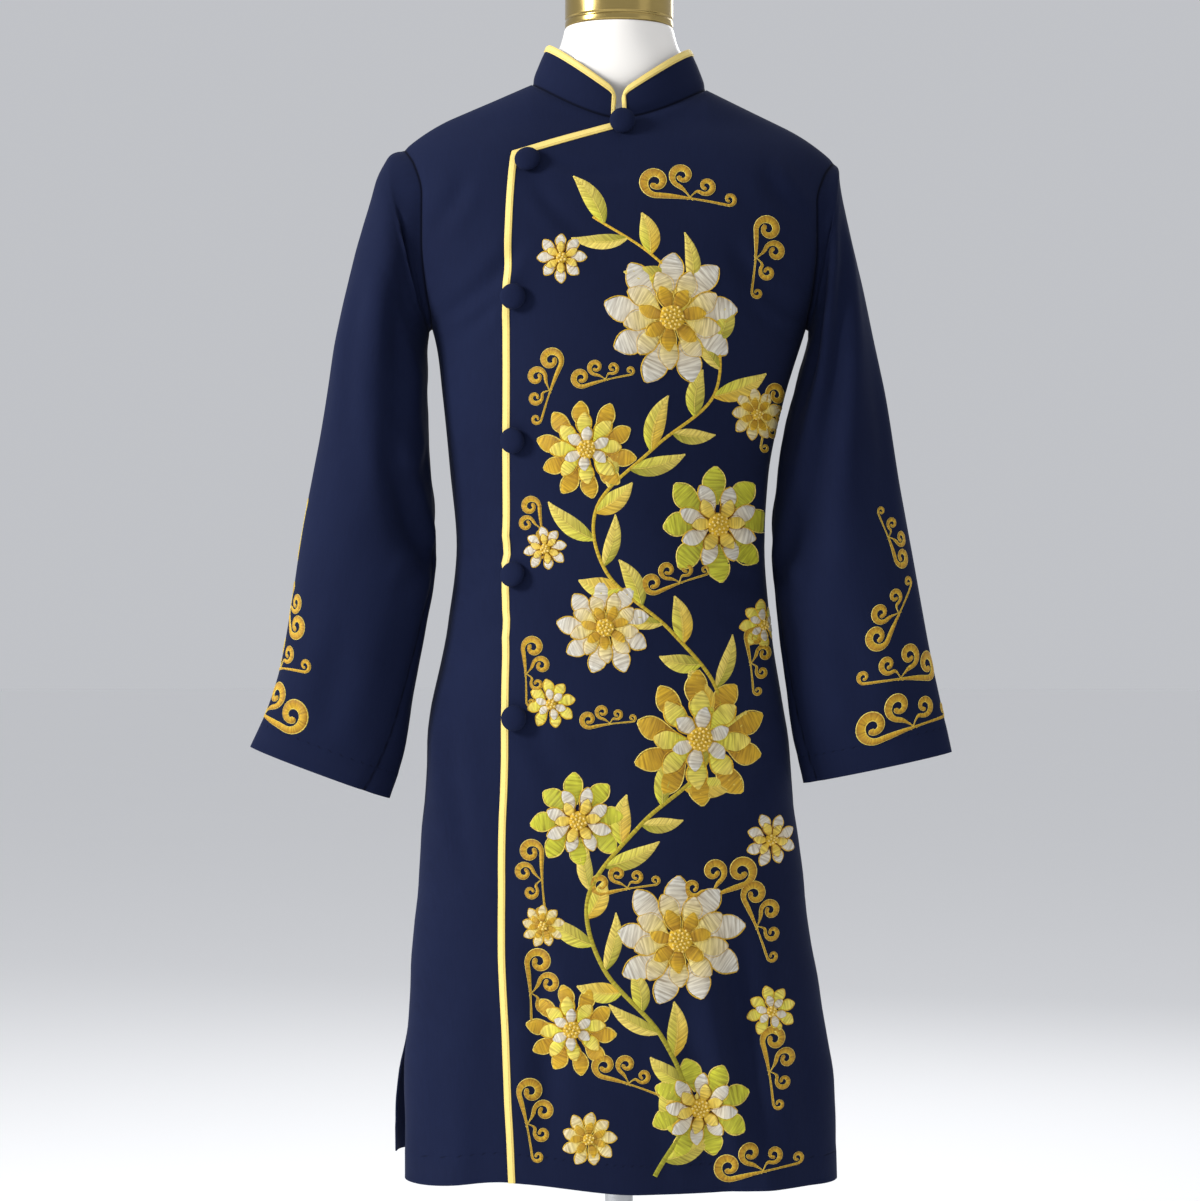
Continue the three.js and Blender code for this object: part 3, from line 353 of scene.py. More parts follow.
# Sleeve folds: along is the station, around is degrees from the outer line towards the front.
SLEEVE_FOLDS = table(
    "along around length spread proud",
    (3.2, 118, 1.7, 22, -6), (3.0, 78, 2.4, 20, 4), (8.2, 132, 0.8, 30, -7),
    (7.3, 104, 0.8, 30, 4), (9.0, 150, 0.6, 26, 4), (8.0, 228, 1.0, 30, -6),
    (4.0, 250, 2.4, 30, -3), (6.0, 285, 2.2, 24, 4),
)
STATION_LENGTH = 48
DEGREE_LENGTH = 0.95
PIT_REACH = 75
SLEEVE_CREASES = table(
    "arm s1 a1 s2 a2 bow width depth",
    (-1, 1.15, 72, 1.5, 140, 4, 8, 5.0),
    (-1, 9.2, 172, 6.8, 104, -10, 13, 6.6),
    (-1, 7.6, 112, 3.4, 98, 8, 15, 5.0),
    (-1, 8.6, 184, 9.6, 122, 8, 8, 2.6),
    (-1, 6.6, 168, 7.6, 122, -8, 9, 2.4),
    (-1, 4.4, 58, 7.6, 72, 10, 12, 2.0),
    (-1, 9.8, 92, 12.2, 84, 6, 12, 1.8),
    (1, 1.15, 70, 1.5, 140, 4, 8, 4.4),
    (1, 2.8, 54, 9.3, 124, -6, 15, 8.0),
    (1, 2.4, 128, 6.6, 142, 8, 12, 4.2),
    (1, 9.2, 174, 7.4, 124, -8, 11, 4.0),
    (1, 8.7, 182, 9.6, 130, 7, 8, 2.2),
    (1, 5.6, 34, 9.0, 62, 8, 12, 2.2),
    (1, 9.6, 112, 12.2, 98, 8, 12, 2.0),
    (0, 7.0, 192, 8.8, 262, 12, 10, 3.4),
    (0, 8.2, 188, 9.4, 240, -8, 8, 2.4),
    (0, 2.4, 232, 5.6, 258, 10, 16, 1.8),
    (0, 4.6, 300, 9.2, 288, 12, 13, 3.0),
    (0, 9.8, 240, 12.4, 262, 8, 12, 2.0),
)
# The sleeve's long seam runs inside to the elbow, then turns to the front by these degrees.
SEAM_TURNS_AT = 8.0
SEAM_TURN = {-1: 49, 1: 34}

# The stand collar.
COLLAR_HALF_WIDTH = 71
COLLAR_FRONT = 57
COLLAR_BACK = 59
COLLAR_SIDE_Z = 1512
COLLAR_BACK_Z = 1517
COLLAR_FRONT_Z = 1459
COLLAR_CORNER = 9
COLLAR_BULGE = 1.5

# Buttons: radius, dome and stand-off, with the place of each in the front view.
BUTTON_RADIUS = 12.5
BUTTON_DOME = 5.5
BUTTON_RIM = 2
BUTTON_EDGE = 1.5
BUTTON_OFF = 3.4
BUTTON_SHANK = 3
BUTTON_SEAT = 0.15
BUTTON_SIDES = 48
BUTTON_STEPS = 12
# Gathers of the cloth under a button's rim: how many, how deep and up to which height.
GATHERS = 17
GATHER_DEPTH = 0.012
GATHER_AT = 0.8
BUTTON_PLACES = {
    "neck": (3, 1427, 0.7, 2.5),
    "shoulder": (-89, 1387, 0, 0),
    "chest": (-102, 1253, 0, 0),
    "ribs": (-102, 1115, 0, 0),
    "waist": (-102, 984, 0, 0),
    "hip": (-101, 846, 0, 0),
}

# The dress form and its stand.
FORM_BOTTOM_Z = 742
FORM_NECK_TOP_Z = 1531
FORM_DROP = 3.2
ARM_PLATE_X = 188
FORM_END_ROUND = 34
# The shell's lower edge is rounded over this height, down to a share of its width.
FORM_FOOT = 14
FOOT_SHARE = 0.965
FORM_SIDES = 120
# Rings of the form above its rounded foot: where the even ones end, where the closer ones of the
# shoulders and neck begin, and how many there are of each.
BODY_RINGS_TO_Z = 1380
NECK_RINGS_FROM_Z = 1386
BODY_RING_COUNT = 56
NECK_RING_COUNT = 44
FORM_EASE = table(
    "z ease",
    (742, 17), (860, 13), (1015, 13), (1160, 9), (1280, 5.5), (1380, 4.5), (1480, 4.5),
)
NECK_RINGS = table(
    "z half depth",
    (1440, 78, 49), (1470, 75, 49), (1484, 71, 50), (1500, 65, 50), (1516, 58, 51),
    (1531, 54, 53),
)
NECK_BLEND = (1444, 1474)
CAP_RADIUS = 54
CAP_HEIGHT = 44
POLE_RADIUS = 14
FLANGE_RADIUS = 42
FLANGE_THICKNESS = 8
BASE_RADIUS = 180
BASE_THICKNESS = 9
HUB_RADIUS = 26
HUB_TOP_RADIUS = 20
HUB_HEIGHT = 46
SEAT = 0.3


# Embroidery on the left front: flowers on a winding stem, among leaves and scrolled clouds.
STEM = table(
    "x z",
    (34, 404), (66, 468), (40, 540), (-16, 606), (-30, 676), (20, 744), (82, 800), (96, 868),
    (50, 930), (-12, 986), (-22, 1050), (34, 1108), (92, 1160), (88, 1232), (34, 1290),
    (-26, 1330),
)
FLOWERS = table(
    "x z radius turn scheme",
    (50, 1232, 66, 8, 0), (-32, 1106, 48, 25, 1), (96, 1034, 57, 3, 2), (-14, 934, 46, 14, 0),
    (78, 826, 66, 20, 1), (-40, 748, 46, 5, 2), (58, 632, 64, 11, 0), (-46, 546, 44, 30, 1),
    (78, 468, 50, 17, 2), (-56, 1290, 25, 0, 2), (134, 1142, 26, 20, 0), (-72, 1010, 22, 10, 2),
    (142, 936, 25, 5, 1), (-66, 860, 24, 12, 1), (148, 726, 27, 22, 2), (-74, 646, 21, 9, 0),
    (148, 560, 25, 14, 1), (-30, 440, 27, 3, 0),
)
CLOUDS = table(
    "x z size turn hand",
    (52, 1362, 14, -9, 1), (142, 1306, 12, -96, 1), (-70, 1178, 11, 72, -1),
    (-26, 1176, 9, 12, 1), (152, 1150, 10, -98, 1), (-84, 1040, 9, 100, -1),
    (44, 980, 10, 18, 1), (-84, 902, 10, -88, 1), (-20, 846, 8, 6, 1), (134, 912, 10, -84, 1),
    (102, 690, 14, 22, -1), (-84, 704, 11, 95, -1), (-6, 688, 10, 8, 1), (136, 660, 12, -70, 1),
    (-78, 596, 12, -88, 1), (-2, 506, 11, -20, 1), (152, 518, 12, -82, 1),
    (-84, 470, 12, -80, 1), (122, 412, 13, 8, 1),
)
# The scrolls of one cloud, in shares of its size: each has a head and a foot, and a foot of no
# size is a point.
SCROLLS = table(
    "dx dz size angle hand turns foot_dx foot_dz foot_size foot_angle foot_hand foot_turns",
    (-1.25, 0.05, 1.0, 290, -1, 1.22, 4.0, -0.30, 0.46, 255, 1, 1.1),
    (0.50, 0.80, 0.80, 262, -1, 1.2, 1.5, -0.84, 0, 0, 0, 0),
    (2.25, 0.35, 0.62, 235, 1, 1.15, 1.1, -0.86, 0, 0, 0, 0),
)
SCROLL_WIDE = 0.33
# Scrolled clouds near each cuff: x runs outwards round the sleeve, up from the cuff's edge.
CUFF_CLOUDS = table(
    "x up size turn hand",
    (-18, 45, 16, 3, 1), (14, 92, 14, -6, -1), (-14, 140, 12, 50, 1), (12, 212, 10, -75, -1),
)
# How far in front of the sleeve's outer line their middle lies, round the sleeve.
CUFF_MIDDLE = {"sleeve_right": 5, "sleeve_left": 52}


# Small mathematics.

def mix(a, b, share):
    return a + (b - a) * share


def ease(start, end, at):
    share = np.clip((at - start) / (end - start), 0, 1)
    return share * share * (3 - 2 * share)


def bell(distance, width):
    return np.exp(-((distance / width) ** 2))


def unit(vectors):
    return vectors / np.maximum(np.linalg.norm(vectors, axis=-1, keepdims=True), 1e-12)


def rows_of(columns):
    """The rows of a table, one after another."""
    return zip(*columns.values())


def ring_angles(sides):
    """Angles of evenly spaced points round a ring, in radians."""
    return 2 * math.pi * np.arange(sides) / sides


def steps_along(points, axis, closed=False):
    """The way along a line or grid at each point, from the point before to the one after."""
    if closed:
        return np.roll(points, -1, axis) - np.roll(points, 1, axis)
    return np.gradient(points, axis=axis)


def travelled(line):
    """How far along a line each of its points lies."""
    return np.concatenate([[0], np.cumsum(np.linalg.norm(np.diff(line, axis=0), axis=-1))])


def left_of(line):
    """Unit vectors to the left of a flat line."""
    way = unit(steps_along(line, 0))
    return np.stack([-way[:, 1], way[:, 0]], axis=-1)


def column(rows, by, key, at):
    """A smooth value of one column of a table, with no overshoot between its rows."""
    xs, ys = rows[by], rows[key]
    slopes = np.diff(ys) / np.diff(xs)
    knots = np.zeros_like(ys)
    knots[0], knots[-1] = slopes[0], slopes[-1]
    before, after = slopes[:-1], slopes[1:]
    same = before * after > 0
    knots[1:-1][same] = (2 * before * after)[same] / (before + after)[same]
    at = np.clip(at, xs[0], xs[-1])
    i = np.clip(np.searchsorted(xs, at, side="right") - 1, 0, len(xs) - 2)
    span = xs[i + 1] - xs[i]
    t = (at - xs[i]) / span
    return (
        ys[i] * (1 + 2 * t) * (1 - t) ** 2
        + knots[i] * span * t * (1 - t) ** 2
        + ys[i + 1] * t * t * (3 - 2 * t)
        + knots[i + 1] * span * t * t * (t - 1)
    )


def smooth_rows(rows, cuts):
    """More rows between those given, on smooth curves through them."""
    rows = np.asarray(rows, float)
    padded = np.concatenate([2 * rows[:1] - rows[1:2], rows, 2 * rows[-1:] - rows[-2:-1]])
    made = []
    for i in range(len(rows) - 1):
        a, b, c, d = padded[i : i + 4]
        for cut in range(cuts):
            t = cut / cuts
            made.append(
                0.5 * (2 * b + (c - a) * t + (2 * a - 5 * b + 4 * c - d) * t * t
                       + (3 * b - a - 3 * c + d) * t**3)
            )
    made.append(rows[-1])
    return np.array(made)


def crease_depth(lines, u, v):
    """Troughs with a raised lip beside each, along slightly bowed lines from (u1, v1)."""
    total = np.zeros_like(u)
    for u1, v1, u2, v2, bow, width, depth in lines:
        du, dv = u2 - u1, v2 - v1
        size = math.hypot(du, dv)
        t = ((u - u1) * du + (v - v1) * dv) / size**2
        inside = np.clip(t, 0, 1)
        off = ((u - u1) * dv - (v - v1) * du) / size - bow * 4 * inside * (1 - inside)
        reach = ease(-0.12, 0.35, t) * (1 - ease(0.65, 1.12, t))
        trough = -bell(off, width) + 0.55 * bell(off - 1.7 * width, width)
        total += depth * reach * (trough + 0.3 * bell(off + 1.9 * width, 1.2 * width))
    return total


def ripple(u, v):
    total = np.zeros_like(u)
    for size, heading, phase, height in rows_of(RIPPLES):
        angle = math.radians(heading)
        along = u * math.cos(angle) + v * math.sin(angle)
        total += height * np.sin(2 * math.pi * along / size + phase + 0.012 * u)
    return total


# The garment's surface.

def shoulder_line(x):
    out = np.abs(x)
    droop = np.maximum(0, out - DROOP_FROM_X)
    down = SHOULDER_SLOPE * (out - NECK_SIDE_X) + SHOULDER_DROOP * droop**2
    return NECK_SIDE_Z - down - SHOULDER_TILT * x


def neck_z(x, side):
    middle, power = (FRONT_NECK_Z, 1.6) if side < 0 else (BACK_NECK_Z, 2)
    share = np.clip(np.abs(x) / NECK_SIDE_X, 0, 1)
    return mix(middle, NECK_SIDE_Z, share**power) - SHOULDER_TILT * x


def front_neck(x):
    return neck_z(x, -1)


def back_neck(x):
    return neck_z(x, 1)


def half_width(z):
    return column(BODY_RINGS, "z", "half", z)


def middle_x(z):
    return column(BODY_RINGS, "z", "middle", z)


def full_depth(z, side):
    return column(BODY_RINGS, "z", "front" if side < 0 else "back", z)


def ridge(x, z, side):
    """How the surface closes over the shoulders and passes through the round neckline."""
    neck = neck_z(x, side)
    wide = NECK_FRONT_DEPTH if side < 0 else NECK_BACK_DEPTH
    share = np.clip(np.abs(x) / NECK_SIDE_X, 0, 1)
    share = np.clip(wide * np.sqrt(1 - share**2) / full_depth(neck, side), 0, 0.98)
    inside = neck + RIDGE_DEPTH * (1 - np.sqrt(1 - share**2))
    top = np.where(np.abs(x) >= NECK_SIDE_X, shoulder_line(x), inside)
    below = np.clip((top - z) / RIDGE_DEPTH, 0, 1)
    return np.sqrt(1 - (1 - below) ** 2)


def roundness(x, z):
    share = np.clip(np.abs(x - middle_x(z)) / half_width(z), 0, 1)
    return (1 - share**ROUNDNESS) ** (1 / ROUNDNESS)


def body_folds(x, z, side):
    total = np.zeros_like(x)
    for where, foot_x, foot_z, head_x, head_z, width, proud in rows_of(BODY_FOLDS):
        if where != side:
            continue
        t = (z - foot_z) / (head_z - foot_z)
        off = (x - mix(foot_x, head_x, t)) / width
        if foot_z < head_z:
            strength = 1 - ease(0.1, 1, t)
        else:
            strength = np.sin(math.pi * np.clip(t, 0, 1))
        total += proud * np.where((t >= -0.1) & (t <= 1), strength, 0) * np.exp(-off * off)
    return total


def plain_depth(x, z, side):
    """Depth of the body from its middle, without folds, in front (side -1) or behind (1)."""
    return full_depth(z, side) * roundness(x, z) * ridge(x, z, side)


def depth_at(x, z, side):
    """Depth with the long folds, which fade out towards the side seams."""
    folds = body_folds(x, z, side) * np.minimum(1, roundness(x, z) * FOLD_FADE)
    return side * (plain_depth(x, z, side) + folds)


def closure_x(z):
    return column(CLOSURE_LINE, "z", "x", z)


def armhole_at(share, sign):
    x = sign * column(ARMHOLE, "share", "x", share)
    z = column(ARMHOLE, "share", "z", share) - SHOULDER_TILT * sign * SHOULDER_X * share
    return np.array([x, z])


def slit_swing(x, z, side):
    """Below the slits' tops the panels' side edges swing apart."""
    share = np.clip((SLIT_TOP_Z - z) / (SLIT_TOP_Z - HEM_Z), 0, 1)
    off = (x - middle_x(z)) / half_width(z)
    near = np.clip((np.abs(off) - 0.55) / 0.45, 0, 1) ** 2
    right, left = SLIT_SWING[side, "right"], SLIT_SWING[side, "left"]
    swing = np.where(off < 0, right, left)
    flare = np.where(off < 0, BACK_FLARE["right"], BACK_FLARE["left"]) if side > 0 else 0
    return np.sign(off) * flare * ease(560, 420, z) * near, side * swing * share**1.6 * near


# Pieces of cloth.

class Piece:
    """A grid of points on a piece's outer face, with a normal that points out at each."""

    def __init__(self, points, turn, closed=False):
        self.points, self.turn, self.closed = points, turn, closed
        self.plain = points.copy()
        self.marks = {}
        self.aim()

    def aim(self):
        across = steps_along(self.points, 1, self.closed)
        self.normals = unit(np.cross(across, steps_along(self.points, 0)) * self.turn)

    def mark(self, seam, hem):
        """What the shader draws by: millimetres from a seam, and from an edge in hem depths."""
        # The shader paints shade in the seams and the stitch pits by these marks.
        self.marks = {"seam": np.minimum(seam, SEAM_MARK), "hem": np.minimum(hem, HEM_MARK)}

    def dress(self, amount):
        """Moves the cloth in and out by its creases, seams and hems, and aims it again."""
        self.points = self.points + self.normals * amount[..., None]
        self.aim()

    def square_seams(self):
        """At the side and shoulder seams the walls end in the seam's own plane."""
        near = np.abs(self.points[..., 1]) < SEAM_NEAR
        self.normals[near, 1] = 0
        self.normals = unit(self.normals)

    def distances(self, axis, backwards=False):
        """How far each point lies from the first, or last, row (axis 0) or column (axis 1)."""
        points = np.flip(self.plain, axis) if backwards else self.plain
        steps = np.linalg.norm(np.diff(points, axis=axis), axis=-1)
        first = np.zeros_like(np.take(steps, [0], axis=axis))
        far = np.cumsum(np.concatenate([first, steps], axis=axis), axis=axis)
        return np.flip(far, axis) if backwards else far

    def sample(self, rows, columns):
        """Points and normals at places between the grid's own."""
        count = self.points.shape[1]
        rows = np.clip(rows, 0, self.points.shape[0] - 1)
        columns = columns % count if self.closed else np.clip(columns, 0, count - 1)
        i = np.minimum(rows.astype(int), self.points.shape[0] - 2)
        j = np.minimum(columns.astype(int), count - 1 if self.closed else count - 2)
        k = (j + 1) % count
        s, t = (rows - i)[..., None], (columns - j)[..., None]
        made = []
        for grid in (self.points, self.normals):
            low = mix(grid[i, j], grid[i, k], t)
            high = mix(grid[i + 1, j], grid[i + 1, k], t)
            made.append(mix(low, high, s))
        return made[0], unit(made[1])


def row_levels(hem_z):
    share = np.linspace(0, 1, SLIT_ROWS, endpoint=False) ** 1.2
    low = mix(hem_z, SLIT_TOP_Z, share)
    return np.concatenate([low, np.linspace(SLIT_TOP_Z, ARMPIT_Z, SIDE_ROWS + 1)])


def front_view(hem_z, top, start_above, end_above, start_x=None, end_x=None, rise=None):
    """A panel's points in the front view: rings up to the armpit, then a blend of its edges."""
    levels = row_levels(hem_z)[:, None]
    shares = np.linspace(0, 1, len(top))
    half, middle = half_width(levels), middle_x(levels)

    def angle_at(x):
        return np.arccos(np.clip((x - middle) / half, -1, 1))

    start = angle_at(start_x(levels)) if start_x else np.full_like(levels, math.pi)
    end = angle_at(end_x(levels)) if end_x else np.zeros_like(levels)
    x = middle + half * np.cos(mix(start, end, shares))
    z = np.broadcast_to(levels, x.shape)
    if rise:
        z = z + rise(x) * np.clip((SLIT_TOP_Z - levels) / (SLIT_TOP_Z - hem_z), 0, 1) ** 2
    low = np.stack([x, z], axis=-1)
    t = 1 - (1 - np.arange(1, ROWS_ABOVE + 1) / ROWS_ABOVE) ** 1.8
    bottom = low[-1]
    first, last = start_above(t).T[:, None], end_above(t).T[:, None]
    t, s = t[:, None, None], shares[None, :, None]
    corners = mix(mix(bottom[0], bottom[-1], s), mix(top[0], top[-1], s), t)
    above = mix(bottom[None], top[None], t) + mix(first, last, s) - corners
    lid = shoulder_line(above[..., 0]) - ROW_DROP * (1 - t[..., 0])
    above[..., 1] = np.minimum(above[..., 1], lid)
    above[-1] = top
    return np.concatenate([low, above])


def onto_body(grid, side, lift=None):
    """The front view's points, set back or forward onto the garment's surface."""
    x, z = grid[..., 0], grid[..., 1]
    swing_x, swing_y = slit_swing(x, z, side)
    off = sizes().seam_gap / MM / 2 + (lift(x) if lift else 0)
    return np.stack([x + swing_x, depth_at(x, z, side) + side * off + swing_y, z], axis=-1)


def top_line(*spans):
    """Points along a panel's top: a start, then (end x, count, height) for each span."""
    start, rest = spans[0], spans[1:]
    points = [start]
    for end_x, count, height in rest:
        xs = np.linspace(points[-1][0], end_x, count + 1)[1:]
        points.extend((x, float(height(x))) for x in xs)
    return np.array(points)


def seam_profile(distance):
    ditch = sizes().ditch / MM
    lip = LIP_SHARE * ditch * bell(distance - LIP_AT, LIP_WIDTH)
    return -ditch * bell(distance, DITCH_WIDTH) + lip


def hem_step(from_edge, depth):
    """How far the doubled cloth of a hem stands out."""
    low, high = HEM_SOFT
    return HEM_PROUD * (1 - ease(depth + low, depth + high, from_edge))


def finish_panel(piece, side, start_seam, end_seam, top_seam):
    """Creases, ripples, seam ditches and hem edges of a panel, and its marks for the shader."""
    x, z = piece.plain[..., 0], piece.plain[..., 2]
    rows, columns = x.shape
    levels = np.arange(rows)[:, None] + np.zeros((1, columns))
    above = levels >= SLIT_ROWS
    far, slit = np.full((2, *x.shape), float(FAR))
    for seam, backwards in ((start_seam, False), (end_seam, True)):
        if not seam:
            continue
        distance = piece.distances(1, backwards)
        below = np.hypot(distance, np.maximum(0, SLIT_TOP_Z - z))
        far = np.minimum(far, np.where(above, distance, below))
        slit = np.minimum(slit, np.where(above, np.hypot(distance, z - SLIT_TOP_Z), distance))
    from_top = piece.distances(0, True)
    far = np.minimum(far, np.where(top_seam[None, :], from_top, FAR))
    lines = [
        (*row[1:7], CREASE_DEPTH * row[7]) for row in rows_of(BODY_CREASES)
        if row[0] == side
    ]
    free = 0.35 + 0.65 * (1 - ease(820, 1060, z))
    amount = crease_depth(lines, x, z) + free * ripple(x + 300 * (side > 0), z)
    from_hem = piece.distances(0)
    hem = sizes().hem / MM
    amount = amount * (1 - bell(far, SEAM_CALM)) * (0.4 + 0.6 * ease(0, 60, from_hem))
    amount += hem_step(from_hem, hem) + seam_profile(far)
    turned_in = np.minimum(from_hem / hem, slit / (sizes().facing / MM))
    piece.mark(far, turned_in)
    piece.uv = np.stack([side * x + y_wrap(piece), z], axis=-1) * MM
    piece.dress(amount)
    piece.square_seams()
    return piece


def y_wrap(piece):
    """Extra width round the sides, so that the weave isn't stretched there."""
    y = piece.plain[..., 1]
    deepest = np.abs(y).max(axis=1, keepdims=True)
    return np.sign(piece.plain[..., 0]) * np.maximum(0, deepest - np.abs(y)) * 0.6


def back_panel():
    top = top_line(
        (-SHOULDER_X, float(shoulder_line(-SHOULDER_X))),
        (-NECK_SIDE_X, SHOULDER_COLUMNS, shoulder_line),
        (NECK_SIDE_X, BACK_NECK_COLUMNS, back_neck),
        (SHOULDER_X, SHOULDER_COLUMNS, shoulder_line),
    )
    grid = front_view(
        BACK_HEM_Z, top, lambda t: armhole_at(t, -1), lambda t: armhole_at(t, 1)
    )
    piece = Piece(onto_body(grid, 1), -1)
    return finish_panel(piece, 1, True, True, np.ones(len(top), bool))


def right_front():
    def lap_x(z):
        share = ease(LAP_TURN_Z, front_neck(RIGHT_NECK_X), z) ** 1.3
        return mix(closure_x(z) + LAP_WIDTH, RIGHT_NECK_X, share)

    def end_above(t):
        z = mix(ARMPIT_Z, front_neck(RIGHT_NECK_X), t)
        return np.array([lap_x(z), z])

    top = top_line(
        (-SHOULDER_X, float(shoulder_line(-SHOULDER_X))),
        (-NECK_SIDE_X, SHOULDER_COLUMNS, shoulder_line),
        (RIGHT_NECK_X, NECK_COLUMNS, front_neck),
    )
    grid = front_view(
        HEM_Z, top, lambda t: armhole_at(t, -1), end_above,
        end_x=lambda z: closure_x(z) + LAP_WIDTH, rise=lambda x: HEM_RISE * ease(-200, -110, x),
    )
    piece = Piece(onto_body(grid, -1), 1)
    return finish_panel(piece, -1, True, False, np.ones(len(top), bool))


def left_front():
    foot = float(front_neck(LEFT_NECK_X)) - NECK_STEP

    def slant(x):
        return mix(CORNER_Z, foot, (x - CORNER_X) / (LEFT_NECK_X - CORNER_X))

    def start_above(t):
        z = mix(ARMPIT_Z, CORNER_Z - CORNER_CUT, t)
        return np.array([closure_x(z) + CORNER_CUT * t**6, z])

    top = top_line(
        (CORNER_X + CORNER_CUT, CORNER_Z - CORNER_CUT),
        (TOP_TRIM_X, FINE, slant),
        (TRIM_END_X, TRIM_COLUMNS - FINE, slant),
        (LEFT_NECK_X, FINE, lambda x: slant(x) + NECK_STEP * ease(TRIM_END_X, LEFT_NECK_X, x)),
        (NECK_SIDE_X, NECK_COLUMNS, front_neck),
        (SHOULDER_X, SHOULDER_COLUMNS, shoulder_line),
    )
    grid = front_view(
        HEM_Z, top, start_above, lambda t: armhole_at(t, 1),
        start_x=closure_x, rise=lambda x: HEM_RISE * ease(20, -110, x),
    )
    lift = onto_body(grid, -1, lambda x: LAP_LIFT * (1 - ease(*LAP_FADE, x)))
    seam = np.arange(len(top)) > TRIM_COLUMNS + FINE
    return finish_panel(Piece(lift, 1), -1, False, True, seam)


def edge_point(edge, plain=False):
    found = [(panel.plain if plain else panel.points)[i, j] for panel, i, j in edge]
    return sum(found) / len(found)


def join(edges, piece, turn):
    """Both walls end on one face that halves the angle between them, half a gap off each."""
    foot = np.array([edge_point(edge) for edge in edges])
    tangents = steps_along(foot, 0, piece.closed)
    for k, edge in enumerate(edges):
        own = piece.normals[0, k]
        panels = unit(sum(panel.normals[i, j] for panel, i, j in edge))
        mean = unit(panels + own)
        mitre = min(MOST_MITRE, 1 / float(mean @ own))
        across = unit(np.cross(tangents[k], mean)) * turn * sizes().seam_gap / MM / 2
        piece.points[0, k] = foot[k] + across
        piece.normals[0, k] = mean * mitre
        for panel, i, j in edge:
            panel.points[i, j] -= across
            panel.normals[i, j] = mean * mitre


def armhole_edge(front, back, sign):
    """Panel edges round an armhole: from the shoulder down the front, then up the back."""
    def at(panel, i):
        return (panel, i, 0 if sign < 0 else panel.points.shape[1] - 1)

    pit = SLIT_ROWS + SIDE_ROWS
    top = pit + ROWS_ABOVE
    edges = [[at(front, top), at(back, top)]]
    edges += [[at(front, i)] for i in range(top - 1, pit, -1)]
    edges.append([at(front, pit), at(back, pit)])
    edges += [[at(back, i)] for i in range(pit + 1, top)]
    return edges


def sleeve_folds(station, around):
    total = np.zeros_like(around)
    for along, where, size, spread, proud in rows_of(SLEEVE_FOLDS):
        total += proud * bell(station - along, size) * bell(around - where, spread)
    return total


def sleeve_rings(edges, sign):
    """The armhole's points, then flattened round sections down to the cuff.

    Each ring has a station, and each of its points a share of the way round.
    """
    rows = SLEEVES[sign]
    count = len(rows["out_x"])
    rows = {**rows, "station": np.arange(1, count + 1, dtype=float)}
    loop = np.array([edge_point(edge, plain=True) for edge in edges])
    made, stations, rounds = [loop], [0.4], []
    shares = None
    even = np.arange(len(edges)) / len(edges)
    for station in np.linspace(1, count, SLEEVE_ROWS):
        at = {key: float(column(rows, "station", key, station)) for key in rows}
        outer = np.array([sign * at["out_x"], at["y"], at["out_z"]])
        inner = np.array([sign * at["in_x"], at["y"], at["in_z"]])
        centre, half = (outer + inner) / 2, (outer - inner) / 2
        if shares is None:
            across = (loop - centre) @ half / (half @ half)
            turn = np.arctan2(-loop[:, 1] / at["depth"], across) / (2 * math.pi)
            # The first point is the shoulder's own, where a turn could count as 0 or as 1.
            shares = turn % 1
            shares[0] = 0
            rounds.append(shares)
        share = mix(shares, even, ease(1, EVEN_FROM_STATION, station))
        angle = 2 * math.pi * share
        row = centre + np.cos(angle)[:, None] * half
        row[:, 1] -= np.sin(angle) * at["depth"]
        made.append(row)
        stations.append(station)
        rounds.append(share)
    return made, np.array(stations)[:, None], rounds


def sleeve(edges, sign):
    """A sleeve with its folds, creases, seams and hem, joined to its armhole."""
    count = len(SLEEVES[sign]["out_x"])
    rings = [smooth_rows(rows, FINE) for rows in sleeve_rings(edges, sign)]
    piece = Piece(rings[0], sign, closed=True)
    around = 360 * rings[2]
    station = np.broadcast_to(rings[1], around.shape)
    u, v = station * STATION_LENGTH, around * DEGREE_LENGTH
    lines = [
        (s1 * STATION_LENGTH, a1 * DEGREE_LENGTH, s2 * STATION_LENGTH, a2 * DEGREE_LENGTH, *rest)
        for arm, s1, a1, s2, a2, *rest in rows_of(SLEEVE_CREASES) if arm in (0, sign)
    ]
    far = np.minimum(piece.distances(0), FAR)
    turned_by = (station - SEAM_TURNS_AT) / (count - SEAM_TURNS_AT)
    seam_angle = 180 - SEAM_TURN[sign] * np.clip(turned_by, 0, 1)
    inner_seam = np.abs(around - seam_angle) * DEGREE_LENGTH
    pit = piece.plain[0, len(edges) // 2]
    free = ease(8, PIT_REACH, np.linalg.norm(piece.plain - pit, axis=-1))
    from_cuff = piece.distances(0, True)
    cuff = sizes().cuff / MM
    amount = sleeve_folds(station, around) * ease(1, 3, station)
    amount = amount + crease_depth(lines, u, v)
    wave = 0.8 * ripple(u + 90 * sign, v * 1.7) * np.abs(np.sin(np.radians(around / 2))) ** 0.5
    calm = (1 - bell(far, SEAM_CALM)) * (0.5 + 0.5 * ease(0, 40, from_cuff)) * free
    amount = (amount + wave) * calm + hem_step(from_cuff, cuff)
    amount += mix(-sizes().ditch / MM * bell(far, DITCH_WIDTH), seam_profile(far), free)
    amount += seam_profile(inner_seam) * ease(0, 30, far) * free
    piece.mark(np.minimum(far, inner_seam), from_cuff / cuff)
    piece.uv = np.stack([v, -u], axis=-1) * MM
    piece.dress(amount)
    join(edges, piece, -sign)
    return piece


